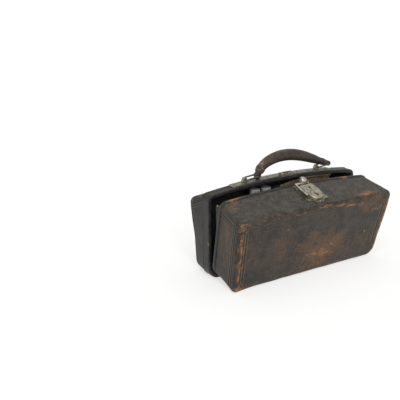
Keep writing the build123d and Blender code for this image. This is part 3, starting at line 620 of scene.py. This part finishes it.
finish = {name: leather(name, *colours, **rest) for name, (*colours, rest) in LEATHERS.items()}
finish |= {name: metal(name, *look) for name, look in METALS.items()}
finish["lining_cloth"] = cloth("lining_cloth", (0.014, 0.013, 0.013), (0.03, 0.028, 0.026))
finish["rack_wood"] = grained("rack_wood", (0.05, 0.025, 0.014), (0.14, 0.075, 0.04), 2.5, (0.15, 1, 1))
finish["board"] = grained("board", (0.2, 0.15, 0.1), (0.34, 0.27, 0.19), 1.5, (1, 1, 1), 0.85)
finish["glass"] = old_glass("glass")
finish["worn_leather"] = finish["grip_leather"]

# Each imported node has its slot's material, and these have a darker or duller one. Vial caps 3 to 7 get a
# near-black copy of the cap metal: painted shade, where they sit in shadow.
OTHER = {"top_plate": "plate_metal", "keeper": "plate_metal", "plate_rivets": "plate_metal"}
OTHER |= {"lock_plate": "lock_plate_metal", "ring_left": "link_metal", "ring_right": "link_metal"}
OTHER |= {f"vial_cap_{number}": "painted_shade_cap_metal" for number in range(3, 8)}
for part in frame["record"]["subparts"]:
    node = nodes[part["node"]]
    node.data.materials.clear()
    node.data.materials.append(finish[OTHER.get(part["node"], part["material_slot"])])


def dress(made, look, body, slot, *stands_for):
    """Give a new piece its material and its body, and hide the nodes that it stands for; the slot is not
    used.
    """
    made.data.materials.append(finish[look])
    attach(made, body)
    if stands_for:
        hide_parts(*stands_for)


# Where the leather has worn: spots on the level lid, as x, y, z, radii and strength
LID_WEAR = [
    (12, -84, 115, 15, 6, 3, 0.9),
    (36, -84, 112, 15, 6, 3, 0.95),
    (58, -84, 108.5, 15, 6, 3, 0.95),
    (76, -84, 107, 9, 6, 3, 0.8),
    (92, -78, 119, 24, 8, 3.2, 0.85),
    (112, -84, 93, 13, 5, 4, 0.75),
    (136, -84, 104, 6, 6, 22, 0.95),
    (134, -80, 55, 5, 6, 45, 0.85),
    (128, -78, 16, 8, 8, 12, 0.9),
    (-133, -84, 110, 12, 6, 15, 0.78),
    (-128, -82, 80, 5, 5, 26, 0.85),
    (-126, -80, 35, 5, 5, 34, 0.8),
    (-125, -78, 12, 9, 8, 9, 1.0),
    (-97, -84, 115, 9, 6, 4, 0.7),
    (-60, -84, 117, 30, 5, 3, 0.42),
    (18, -80, 40, 36, 6, 16, 0.72),
    (2, -79, 20, 26, 5, 8, 0.6),
    (38, -80, 52, 20, 6, 14, 0.68),
    (50, -79, 12, 16, 6, 5, 0.8),
    (-56, -83, 92, 7, 5, 2, 0.66),
    (-66, -80, 45, 10, 5, 1.6, 0.66),
    (100, -81, 57, 3.5, 4, 3, 0.75),
    (95, -48, 126, 3.5, 6, 3, 0.8),
    (-118, -34, 128, 14, 5, 4, 0.85),
    (88, -30, 129, 8, 4, 4, 0.8),
    (-100, -50, 127, 4, 4, 4, 0.6),
    (-22, -55, 121, 3.5, 4, 5, 0.85),
    (-72, -54, 120, 3, 4, 5, 0.8),
    (48, -50, 121, 3, 3, 5, 0.75),
    (-121, -46, 119, 14, 12, 8, 0.58),
    (-112, -38, 122, 10, 3, 4, 0.7),
    (70, -60, 118, 14, 5, 4, 0.55),
    (-136, -60, 60, 5, 14, 30, 0.42),
]
LID_BROWN = [
    (20, -80, 45, 70, 8, 36, 0.95),
    (-60, -80, 60, 60, 8, 40, 0.5),
    (100, -82, 105, 40, 10, 20, 0.7),
    (-136, -52, 85, 8, 22, 30, 0.7),
    (90, -81, 40, 40, 8, 40, 0.45),
    (0, -80, 8, 130, 12, 10, 0.6),
]
BACK_WEAR = [
    (-136, 12, 120, 8, 16, 5, 1.35),
    (-136, 28, 106, 9, 8, 18, 1.35),
    (134, 24, 112, 8, 9, 10, 0.9),
    (-128, 24, 4, 12, 12, 8, 0.9),
    (128, 24, 4, 12, 12, 8, 0.9),
    (0, 29, 112, 130, 5, 3, 0.62),
    (-132, 27, 60, 5, 5, 50, 0.8),
    (131, 27, 60, 5, 5, 50, 0.7),
    (30, 26, 40, 40, 6, 22, 0.55),
    (-60, 27, 70, 26, 6, 18, 0.5),
]
BACK_BROWN = [
    (0, 26, 50, 120, 10, 50, 0.6),
    (-134, 10, 60, 8, 20, 50, 0.4),
    (134, 10, 60, 8, 20, 50, 0.4),
]

# Where the old leather has swollen out: x, y, z, radii and shift
LID_SWELL = [
    (138, -84, 80, 16, 34, 50, 4.0, -0.5, 0.0),
    (-131, -78, 2, 20, 18, 16, -2.6, -3.6, 0.0),
    (-133, -84, 60, 12, 14, 40, -0.8, -0.8, 0.0),
]
BACK_SWELL = [
    (-134, 27, 96, 16, 24, 40, -3.2, 0.6, 0.4),
    (134, 27, 90, 16, 24, 40, 2.0, 0.6, 0.0),
]
# Depths of the tooled grooves and of the deepest dent, which stays clear of the board
GROOVE_DEPTH, DENT_DEPTH = 0.5, 0.45


def shell(name, rings):
    """Mesh over closed rings, with its points and their normals turned outwards."""
    points = np.vstack(rings)
    made = make_mesh(name, points, ring_faces(len(rings[0]), len(rings)))
    normal = vertex_normals(made)
    return made, points, normal if (normal * (points - points.mean(0))).sum() > 0 else -normal


def cover(name, half, inset, first, wear, brown, tooled, bulge, edge_wear, swell):
    """Leather cover of a half, dented and tooled, with its wear stored on the mesh."""
    rings, places, grooves, normals, end_lines = cover_rings(half, inset, first, bulge, tooled)
    count = len(rings[0])
    made, points, normal = shell(name, rings)
    upright = np.abs(normals[:, 0])
    walls = (places < -1) & (places > RIM_PLACE + 1)
    lines = (np.outer(grooves, 0.2 + 0.8 * upright) + np.outer(walls, end_lines)).ravel()
    groove = np.clip(lines, 0, 1)
    rubbing = edge_wear[0] + (edge_wear[1] - edge_wear[0]) * upright
    rubbing = np.outer(fall(places - 4.5, 4.2), rubbing).ravel()
    shove = 0.9 * field(points, 46.0, 3.1 + half.side) + 0.35 * field(points, 17.0, 8.2)
    shove *= np.repeat(np.clip((places + 40) / 40, 0.12, 1.0), count)
    # The rings close up in the middle of the face, so that part moves along one normal
    flat = np.repeat(places > MIDDLE_PLACE - 1, count)
    normal[flat] = unit(normal[flat].mean(0))
    set_value(made, "wear", np.maximum(rubbing, patches(points, wear)))
    set_value(made, "brown", np.maximum(patches(points, brown), 0.5 * rubbing))
    # Tooled grooves are painted dark, dirt and painted shade, and the ridges beside them pale, dust and
    # painted highlight
    set_value(made, "groove", groove)
    set_value(made, "ridge", -lines)
    set_value(made, "upright", np.tile(upright, len(rings)))
    points = points + normal * (np.maximum(shove, -DENT_DEPTH) - GROOVE_DEPTH * groove)[:, None]
    for x, y, z, wide, deep, high, *way in swell:
        far = ((points - (x, y, z)) / (wide, deep, high)) ** 2
        points = points + np.outer(np.exp(-far.sum(1)), way)
    place_vertices(made, points)
    return made


def settle(made, half, floor=0.0):
    """Tip a level lid piece to its rest pose, and keep a piece of either half off the table."""
    points = positions(made)
    if half is lid:
        points = tip(points)
    points[:, 2] = np.maximum(points[:, 2], floor)
    place_vertices(made, points)


def fit(made, half, look, slot, node, floor=0.0, inside=False):
    """Settle a shell of a half, turn its faces and dress it in place of its node."""
    settle(made, half, floor)
    outward(made, inside)
    dress(made, look, half.body, slot, node)


back_cover = cover(
    "back_cover_leather", back, BAND, 17.0, BACK_WEAR, BACK_BROWN, (2.4,), 0.5, (0.4, 0.6), BACK_SWELL
)
fit(back_cover, back, "back_leather", "case_leather", "back_cover")
lid_cover = cover(
    "lid_cover_leather", lid, 0.0, 5.0, LID_WEAR, LID_BROWN, (2.4, 6.2), 0.7, (0.36, 0.74), LID_SWELL
)
fit(lid_cover, lid, "case_leather", "case_leather", "lid_cover")


# Bands round the rims, swept as a rounded profile of depth and inset
def banded(half, outer):
    """Profile of a band: inside edge, rounded front, flat outside and turned edge on the cover."""
    width, inner = half.straight, half.lining_in
    front = [(1.2, inner), (0.5, inner - 0.1), (0.05, inner - 0.6), (0.0, inner - 1.2)]
    front += [(0.0, outer + 2.8), (0.0, outer + 1.5)]
    round_over = [(1.1 - 1.1 * cos(a), outer + 1.1 - 1.1 * sin(a)) for a in np.linspace(0.1, pi / 2, 6)]
    flat = [(d, outer) for d in np.linspace(1.8, width - 0.9, 9)]
    edge = [(width - 0.9 + 0.7 * sin(a), outer + 0.7 - 0.7 * cos(a)) for a in np.linspace(0.3, pi / 2, 5)]
    return front + round_over + flat + edge + [(width - 0.2, outer + 1.3)]


def band(name, half, outer, wear, rub):
    """Leather band round a rim, its outside this far in, with rubbed edges and painted shade on the inside of
    its front.
    """
    profile = banded(half, outer)
    made, points, normal = shell(name, [rim_ring(half, depth, inset) for depth, inset in profile])
    depths, insets = (np.repeat(values, len(points) // len(profile)) for values in zip(*profile))
    loose = np.where((insets < 0.5) & (depths > 1) & (depths < 17), 1.0, 0.2)
    points = points + normal * (0.28 * field(points, 21.0, 5.5) * loose)[:, None]
    place_vertices(made, points)
    edges = rub * fall(np.minimum(depths, np.abs(profile[-1][0] - depths)), 1.2)
    worn = patches(points, wear)
    browned = np.maximum(0.6 * worn, 0.25 + 0.25 * field(points, 40.0, 1.0))
    # The inside of the band's front is painted near-black through the groove value: painted shade where the
    # rim's inside falls into shadow
    painted_shade = np.where(insets > outer + 2.9, 1.0, 0.0)
    if half is back:
        # Above the flap the inside edge is brown instead of painted shade
        x, _, z = points.T
        over_flap = np.clip((x - 15) / 20, 0, 1) * (x < 88) * (z > 90) * painted_shade
        painted_shade = painted_shade - 0.9 * over_flap
        browned = 0.3 + 0.9 * over_flap
    set_value(made, "wear", np.maximum(worn, edges))
    set_value(made, "brown", browned)
    set_value(made, "groove", painted_shade)
    return made


BAND_WEAR = [
    (-133, -10, 124, 6, 10, 6, 0.6),
    (133, -14, 124, 7, 10, 6, 0.6),
    (-136, -21, 54, 3, 2.5, 5, 0.8),
    (-131, -14, 4, 8, 12, 6, 0.55),
    (131, -14, 4, 8, 12, 6, 0.6),
]
BINDING_WEAR = [
    (-112, -30, 125, 16, 5, 5, 1.3),
    (-131, -30, 119, 5, 5, 5, 0.6),
    (88, -30, 126, 9, 5, 5, 1.3),
    (-134, -30, 30, 4, 6, 16, 0.5),
]
back_band = band("back_rim_band_leather", back, 0.0, BAND_WEAR, 0.25)
fit(back_band, back, "band_leather", "band_leather", "back_rim_band", floor=-0.05)
lid_binding = band("lid_binding_leather", lid, -BAND, BINDING_WEAR, 0.3)
fit(lid_binding, lid, "band_leather", "band_leather", "lid_binding")

# Linings, glued inside the boards with a little slack
for half in (back, lid):
    rings = cover_rings(half, half.lining_in, 1.0)[0]
    made, points, normal = shell(f"{half.body}_lining_cloth", rings)
    slack = np.clip(0.35 * field(points, 30.0, 9.0) + 0.25 * field(points, 12.0, 4.0), -0.6, 0.0)
    place_vertices(made, points + normal * slack[:, None])
    fit(made, half, "lining_cloth", "lining_cloth", f"{half.body}_lining", inside=True)


# Stitching along the edges of the bands: one mesh of short threads
STITCH_PITCH = 3.4
# Round threads: radii by share of the length
THREAD = ((-0.5, 0.12), (-0.3, 0.34), (0.0, 0.42), (0.3, 0.34), (0.5, 0.12))


def stitch(points, faces, spot, forward, across, lift, length, rise=0.0, sink=0.0):
    """Add one stitch, its middle raised off the leather and its ends let into it."""
    first = len(points)
    for share, size in THREAD:
        middle = spot + forward * share * length + lift * (rise * (1 - (2 * share) ** 2) - sink)
        for k in range(6):
            turn = k * pi / 3
            points.append(middle + size * (cos(turn) * across + sin(turn) * lift))
    faces += [tuple(first + i for i in f) for f in ring_faces(6, len(THREAD))]


def stitches(name, half, depth, inset):
    """Row of stitches round a rim."""
    path = rim_ring(half, depth, inset)
    path = np.vstack([path, path[:1]])
    steps = distances(path)
    at = np.arange(0, steps[-1], STITCH_PITCH)
    spots, ahead = (
        np.column_stack([np.interp(where, steps, path[:, k]) for k in range(3)]) for where in (at, at + 0.5)
    )
    along = unit(ahead - spots)
    side = np.array([0.0, 1.0, 0.0])
    out = unit(np.cross(along, side))
    out *= np.sign(((spots - (0.0, half.rim_y, half.base + 60.0)) * out).sum(1))[:, None]
    points, faces = [], []
    for spot, forward, lift in zip(spots, along, out):
        if spot[2] > 1.5:
            stitch(points, faces, spot, forward, side, lift, 2.5, rise=0.32, sink=0.1)
    return make_mesh(name, np.array(points), faces)


dress(stitches("back_band_stitches", back, 15.4, 0.0), "thread", "back", "band_leather")
lid_stitches = stitches("lid_binding_stitches", lid, 4.2, -BAND)
settle(lid_stitches, lid, 0.2)
dress(lid_stitches, "thread", "lid", "band_leather")


# Leather hinge: one strip from the back half's rim round the fold to the lid's
def smooth_line(knots, count):
    """Smooth curve through knots, by their chord lengths."""
    knots = np.array(knots, float)
    t = distances(knots)
    size = len(t)
    h = np.diff(t)
    system = np.eye(size)
    right = np.zeros_like(knots)
    for i in range(1, size - 1):
        system[i, i - 1 : i + 2] = h[i - 1], 2 * (h[i - 1] + h[i]), h[i]
        right[i] = 6 * ((knots[i + 1] - knots[i]) / h[i] - (knots[i] - knots[i - 1]) / h[i - 1])
    bend = np.linalg.solve(system, right)
    u = np.linspace(0, t[-1], count)
    i = np.clip(np.searchsorted(t, u) - 1, 0, size - 2)
    a, b, w = (t[i + 1] - u)[:, None], (u - t[i])[:, None], h[i][:, None]
    return (
        bend[i] * a**3 / (6 * w)
        + bend[i + 1] * b**3 / (6 * w)
        + (knots[i] / w - bend[i] * w / 6) * a
        + (knots[i + 1] / w - bend[i + 1] * w / 6) * b
    )


FOLD_POINTS, STRIP_POINTS = 25, 90
knots = [(-22.8, 4.6), (-23.3, 2.6), (-24.2, 1.2), (-25.8, 0.9), (-27.6, 2.2), (-28.6, 5.0)]
fold = smooth_line(knots + [(-28.6, 8.0), (-28.9, 11.2)], FOLD_POINTS)
lengthwise = np.linspace(-HINGE_LENGTH / 2, HINGE_LENGTH / 2, STRIP_POINTS)
grid = np.array([(x, y + 0.15 * noise.noise(Vector((x / 9, y, z))), z) for x in lengthwise for y, z in fold])
strip = make_mesh("hinge_strip", grid, ring_faces(FOLD_POINTS, STRIP_POINTS, closed=False))
set_value(strip, "wear", 0.5 * fall(np.abs(grid[:, 0]) - HINGE_LENGTH / 2, 4))
set_value(strip, "brown", 0.3)
thicken(strip, 0.9)
strip.data.materials.append(finish["band_leather"])
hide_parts("hinge_back_leaf", "hinge_front_leaf")
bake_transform(strip)


# Dust wings: stiff leather inside the lid's ends, pale where their edges have rubbed
WING_X, WING_BACK, WING_FOOT, WING_TOP = 128.65, -44.0, 49.5, 111.5


def wing_front(z):
    """Where a wing's free edge is, over its height."""
    return np.interp(z, [WING_FOOT, 107.0, WING_TOP], [-28.0, -13.4, -14.6])


for hand, sign in HANDS:
    points = []
    for z in np.linspace(WING_FOOT, WING_TOP, 26):
        for y in np.linspace(WING_BACK, wing_front(z), 14):
            curl = 0.9 * ((y + 28) / 15) ** 2 if y > -28 else 0.0
            points.append((sign * (WING_X - curl), y, z + 0.3 * sin(y / 3)))
    points = np.array(points)
    made = make_mesh(f"lid_wing_{hand}_leather", points, ring_faces(14, 26, closed=False))
    _, y, z = points.T
    set_value(made, "wear", fall(y - wing_front(z), 1.1) + 0.6 * fall(z - WING_TOP, 1.5))
    set_value(made, "brown", 0.35)
    settle(made, lid)
    thicken(made, 1.5)
    dress(made, "wing_leather", "lid", "wing_leather", f"lid_wing_{hand}")

# Handle: padded leather grip, swept along the handle's arc, with a seam underneath
LUG_X, LUG_Y = 67.5, -11.0
PIVOT_Z = 134.819
LINK, LINK_LEAN = 23.0, radians(6.0)
SPAN, RISE = 135.0, 23.5
START = 5.5
eye_left = np.array([-LUG_X + LINK * cos(LINK_LEAN), PIVOT_Z + LINK * sin(LINK_LEAN)])
knots = [(0.0, 0.0), (0.045, 0.42), (0.16, 0.82), (50 / 135, 1.0), (0.62, 0.76), (0.83, 0.34), (1.0, 0.0)]
spine = smooth_line([eye_left + (u * SPAN, h * RISE) for u, h in knots], 161)
steps = distances(spine)
total = steps[-1]


def on_spine(at):
    """Points of the handle's middle line as x and z, at distances along it."""
    return np.column_stack([np.interp(at, steps, spine[:, k]) for k in (0, 1)])


def capped_faces(count, rings):
    """Faces between rings of count points each, with the first and the last ring closed."""
    ends = [range(count)[::-1], range((rings - 1) * count, rings * count)]
    return ring_faces(count, rings) + [tuple(end) for end in ends]


def tube(name, first, last, radius, count, around, seam=0.0):
    """Round piece along the handle between two distances, with radius(distance) and a groove underneath."""
    at = np.linspace(first, last, count)
    along = unit(on_spine(np.clip(at + 0.5, 0, total)) - on_spine(np.clip(at - 0.5, 0, total)))
    points = []
    for distance, (x, z), (way_x, way_z) in zip(at, on_spine(at), along):
        size = radius(distance)
        for turn in np.linspace(0, 2 * pi, around, endpoint=False):
            wide, high = sin(turn), cos(turn)
            r = size * (1 - seam * max(0.0, -high) ** 12)
            if size > 4:
                r += 0.16 * noise.noise(Vector((x / 11, wide, high)))
            points.append((x - way_z * high * r, LUG_Y + wide * r * 0.97, z + way_x * high * r))
    return make_mesh(name, np.array(points), capped_faces(around, count))


def grip_radius(at):
    """Radius of the grip at a distance along the handle, fullest in the middle."""
    share = min(1.0, max(0.0, (at - START) / (total - 2 * START)))
    ends = 5.6 + (3.7 - 5.6) * share
    return ends + (8.7 - ends) * max(0.0, sin(pi * share**0.85)) ** 0.8


grip = tube("handle_grip_leather", START, total - START, grip_radius, 120, 40, seam=0.06)
points = positions(grip)
tops = np.clip((points[:, 2] - np.interp(points[:, 0], spine[:, 0], spine[:, 1])) / 8.3, 0, 1)
ends = np.minimum(points[:, 0] - eye_left[0], eye_left[0] + SPAN - points[:, 0])
set_value(grip, "wear", 0.45 * tops**3 + 0.5 * fall(ends, 9) + 0.1)
set_value(grip, "brown", 0.35 + 0.3 * field(points, 20.0, 2.0))
outward(grip)
dress(grip, "grip_leather", "handle", "grip_leather", "handle_grip")

COLLAR_LENGTH = 9.7
for hand, first in (("left", START - 2.7), ("right", total - START - 7.0)):

    def collar_radius(at, first=first):
        """Radius over the grip's end, drawn in towards the eye."""
        full = grip_radius(at) + 0.7 + 0.1 * sin(18 * (at - first) / COLLAR_LENGTH)
        beyond = min(1.0, max(0.0, (min(at, total - at) - 2.8) / 3.0))
        return min(full, 4.2 + (full - 4.2) * beyond**0.6)

    collar = tube(f"handle_collar_{hand}_leather", first, first + COLLAR_LENGTH, collar_radius, 34, 36)
    set_value(collar, "wear", 0.55 + 0.4 * field(positions(collar), 4.0, 6.0))
    set_value(collar, "brown", 0.6)
    outward(collar)
    dress(collar, "grip_leather", "handle", "worn_leather", f"handle_collar_{hand}")

# Leather turned round the handle's eyes, with the wire links running through it
LOOP = [(2.1, -3.9), (3.6, -4.2), (4.7, -3.6), (5.0, -2.0), (5.0, 2.0), (4.7, 3.6), (3.6, 4.2), (2.1, 3.9)]
LOOP_POINTS = 32
for hand, along, size in (("left", 0.0, 0.94), ("right", SPAN, 0.8)):
    points = [
        (eye_left[0] + along + r * size * cos(turn), LUG_Y + y, eye_left[1] + r * size * sin(turn))
        for r, y in LOOP
        for turn in np.linspace(0, 2 * pi, LOOP_POINTS, endpoint=False)
    ]
    # The faces beyond the last ring lead back to the first
    faces = [tuple(i % len(points) for i in f) for f in ring_faces(LOOP_POINTS, len(LOOP) + 1)]
    wrap = make_mesh(f"handle_eye_{hand}_leather", np.array(points), faces)
    set_value(wrap, "wear", 0.42)
    set_value(wrap, "brown", 0.6)
    outward(wrap)
    dress(wrap, "grip_leather", "handle", "worn_leather")

# Seam stitches along the inside of the grip
points, faces = [], []
for at in np.arange(START + 8.0, total - START - 8.0, 3.2):
    (x, z), (x2, z2) = on_spine([at, at + 0.6])
    forward = unit(np.array([x2 - x, 0, z2 - z]))
    down = np.array([forward[2], 0, -forward[0]])
    spot = np.array([x, LUG_Y, z]) + down * (grip_radius(at) * 0.955 + 0.1)
    stitch(points, faces, spot, forward, np.array([0, 1, 0]), down, 2.3)
dress(make_mesh("handle_seam_stitches", np.array(points), faces), "thread", "handle", "grip_leather")


# Wrinkled flap in front of the vials, its top turned forward under the rim
FLAP_LEFT, FLAP_RIGHT, FLAP_FOOT = -9.0, 88.0, 76.0
FLAP_Y, RIM_UNDERSIDE_Y = -19.85, -22.4
points = []
for x in np.linspace(FLAP_LEFT, FLAP_RIGHT, 110):
    inner = crest(back, x) - back.lining_in
    top = min(inner - 0.25, 119.0 + 0.15 * (x - FLAP_LEFT))
    for share in np.linspace(0, 1, 46):
        z = FLAP_FOOT + (top - FLAP_FOOT) * share
        wave = 0.32 * sin(x / 5.2 + 1.2 * sin(z / 9)) + 0.22 * sin(z / 2.7 + 0.8 * sin(x / 8))
        wave += 0.4 * noise.noise(Vector((x / 7, z / 5, 2.0)))
        turned = min(1.0, max(0.0, (z - inner + 5.0) / 4.0))
        y = FLAP_Y - (0.15 + 0.45 * sin(pi * share) ** 0.6) * max(-0.6, wave) * (1 - turned)
        points.append((x, y * (1 - turned) + RIM_UNDERSIDE_Y * turned, z))
points = np.array(points)
flap = make_mesh("vial_flap_leather", points, ring_faces(46, 110, closed=False))
edges = fall(points[:, 0] - FLAP_RIGHT, 1.2) + fall(points[:, 2] - FLAP_FOOT, 1.2)
set_value(flap, "wear", 0.7 * edges + 0.25)
set_value(flap, "brown", 0.4 + 0.4 * field(points, 12.0, 3.0))
thicken(flap, 0.8)
dress(flap, "flap_leather", "back", "flap_leather", "vial_flap")

# Relief on the lock's case: a plain ridge and two curls, generic ornament
LOCK_X = 3.0
CASE_FRONT = 6.4
bend = np.array([LOCK_X, lid.rim_y - lid.straight, crest(lid, LOCK_X)])
slope_rise = lid.rim[2] + lid.rim[3] - lid.face[2] - lid.face[3]
slope = unit(np.array([0.0, lid.depths[1] - lid.straight, slope_rise]))
lock_out = np.array([0.0, -slope[2], slope[1]])


def on_lock(x, y, lift):
    """Point on the lock: x across, y towards the rim, lift off the leather."""
    return bend + np.array([x, 0, 0]) + slope * y + lock_out * lift


def wire(name, path, size):
    """Thin raised line on the lock's case."""
    curve = bpy.data.curves.new(name, "CURVE")
    curve.dimensions = "3D"
    curve.bevel_depth = size * MM
    curve.bevel_resolution = 3
    line = curve.splines.new("NURBS")
    line.points.add(len(path) - 1)
    for point, place in zip(line.points, tip(np.array(path))):
        point.co = (*(place * MM), 1.0)
    line.order_u = 3
    line.use_endpoint_u = True
    dress(add_object(name, curve), "aged_nickel", "lid", "aged_nickel")


wire("lock_ridge", [on_lock(x, -22.4, CASE_FRONT) for x in np.linspace(-9.5, 9.5, 7)], 0.5)
for hand, sign in HANDS:
    curl = []
    for k in range(10):
        turn = 0.75 * k
        x, y = 6.6 + (3.2 - 0.32 * k) * cos(turn), -31.5 + (3.8 - 0.36 * k) * sin(turn)
        curl.append(on_lock(sign * x, y, CASE_FRONT))
    wire(f"lock_curl_{hand}", curl, 0.45)

# Latch: a crowned tongue that curls over the rim, on its shaft, with a thumb bar beside the case
TONGUE_POINTS = 15
knots = [(-4.4, 5.6), (-4.1, 9.6), (-2.4, 12.0), (0.6, 12.75), (3.6, 12.3), (5.45, 10.9), (5.8, 8.7)]
curl = smooth_line(knots, 30)
along = unit(np.vstack([curl[1:], curl[-1:]]) - np.vstack([curl[:1], curl[:-1]]))
points = []
for share, (y, lift), (way_y, way_lift) in zip(np.linspace(0, 1, len(curl)), curl, along):
    wide = 4.3 * (1.0 - 0.5 * max(0.0, (share - 0.6) / 0.4) ** 2.2) * (0.9 + 0.1 * min(1.0, share / 0.2))
    for across in np.linspace(-1, 1, TONGUE_POINTS):
        crown = -1.3 * abs(across) ** 2.4
        points.append(on_lock(wide * across, y - way_lift * crown, lift + way_y * crown))
tongue = make_mesh("latch_tongue", tip(np.array(points)), ring_faces(TONGUE_POINTS, len(curl), closed=False))
thicken(tongue, 1.7, offset=-1.0)
soft = tongue.modifiers.new("rounding", "BEVEL")
soft.width, soft.segments, soft.angle_limit = 0.35 * MM, 3, radians(50)
dress(tongue, "bright_metal", "latch", "bright_metal", "latch")


def rod(name, rings, section):
    """Rod of the latch with closed ends, through rings of (x, y, lift, half width, half height)."""
    points = []
    for x, y, lift, wide, high in rings:
        for turn in np.linspace(0, 2 * pi, 16, endpoint=False):
            dx, dy, dlift = section(cos(turn), sin(turn))
            points.append(on_lock(x + wide * dx, y + wide * dy, lift + high * dlift))
    made = make_mesh(name, tip(np.array(points)), capped_faces(16, len(rings)))
    outward(made)
    dress(made, "bright_metal", "latch", "bright_metal")


def squared(value):
    """Circle's coordinate, moved out towards a square's."""
    return abs(value) ** 0.7 * (1 if value > 0 else -1)


shaft_ends = ((-15.9, 0.5), (-15.7, 0.85), (-15.2, 1.0), (7.8, 1.0), (8.3, 0.85), (8.5, 0.5))
shaft = [(x, -3.0, 5.4, 1.7 * r, 1.7 * r) for x, r in shaft_ends]
rod("latch_shaft", shaft, lambda c, s: (0.0, c, s))
BAR_WIDTHS = ((0.0, 0.4), (0.02, 0.8), (0.05, 1.0), (0.3, 0.9), (0.6, 0.85), (0.85, 1.05), (0.95, 1.1))
BAR_WIDTHS += ((0.985, 0.8), (1.0, 0.35))
bar = [(-14.5, -0.4 - 29.6 * t, 5.4 - 0.5 * sin(pi * t), 1.7 * w, 1.2 * w) for t, w in BAR_WIDTHS]
rod("latch_thumb_bar", bar, lambda c, s: (squared(c), 0.0, squared(s)))


# Floor, light and camera
def flat_material(name, seen, lit, glow=0.6):
    """Plain pale surface: the seen colour for the camera and for reflections, the lit colour for light."""
    made, shader, n = new_material(name)
    rays = n.add("LightPath", {}).outputs
    direct = n.math("MAXIMUM", rays["Is Camera Ray"], rays["Is Glossy Ray"])
    direct = n.math("MAXIMUM", direct, rays["Is Transmission Ray"])
    n.fill(shader, {"Base Color": n.mix(direct, lit, seen), "Roughness": 0.9, "Specular IOR Level": 0.1})
    white = (1.0, 1.0, 1.0, 1.0)
    n.fill(shader, {"Emission Color": white, "Emission Strength": n.math("MULTIPLY", direct, glow)})
    return made


bpy.ops.mesh.primitive_plane_add(size=60.0, location=(0, 0, -0.0001))
floor = bpy.context.object
floor.name = "floor"
floor.data.materials.append(flat_material("floor", (0.43, 0.428, 0.42), (0.8, 0.79, 0.77)))

world = bpy.data.worlds.new("world")
bpy.context.scene.world = world
world.use_nodes = True
n = Nodes(world.node_tree)
# Strength 1 for the camera, and less for light
seen = n.add("LightPath", {}).outputs["Is Camera Ray"]
strength = n.math("MULTIPLY_ADD", seen, 0.4, 0.6)
n.fill(world.node_tree.nodes["Background"], {"Color": (1.0, 1.0, 0.99, 1.0), "Strength": strength})


def lamp(name, place, spread, power):
    """Soft sunlight from a place, aimed at the case."""
    light = bpy.data.lights.new(name, "SUN")
    light.angle = radians(spread)
    light.energy = power
    made = add_object(name, light)
    made.location = place
    made.rotation_euler = (-Vector(place)).to_track_quat("-Z", "Y").to_euler()


lamp("key", (-0.75, -1.0, 1.2), 45, 1.0)
lamp("low", (-0.3, -1.0, 0.5), 20, 0.6)
lamp("top", (0.4, 0.2, 1.5), 60, 0.3)

camera_data = bpy.data.cameras.new("camera")
camera_data.sensor_width = 36.0
camera_data.lens = 60.1
camera_data.clip_start = 0.01
camera_data.clip_end = 100.0
camera = add_object("camera", camera_data)
camera.location = (-0.6141, -0.7495, 0.3908)
camera.rotation_euler = (radians(72.61), 0.0, radians(-32.55))
bpy.context.scene.camera = camera
bpy.context.scene.view_settings.view_transform = "Standard"
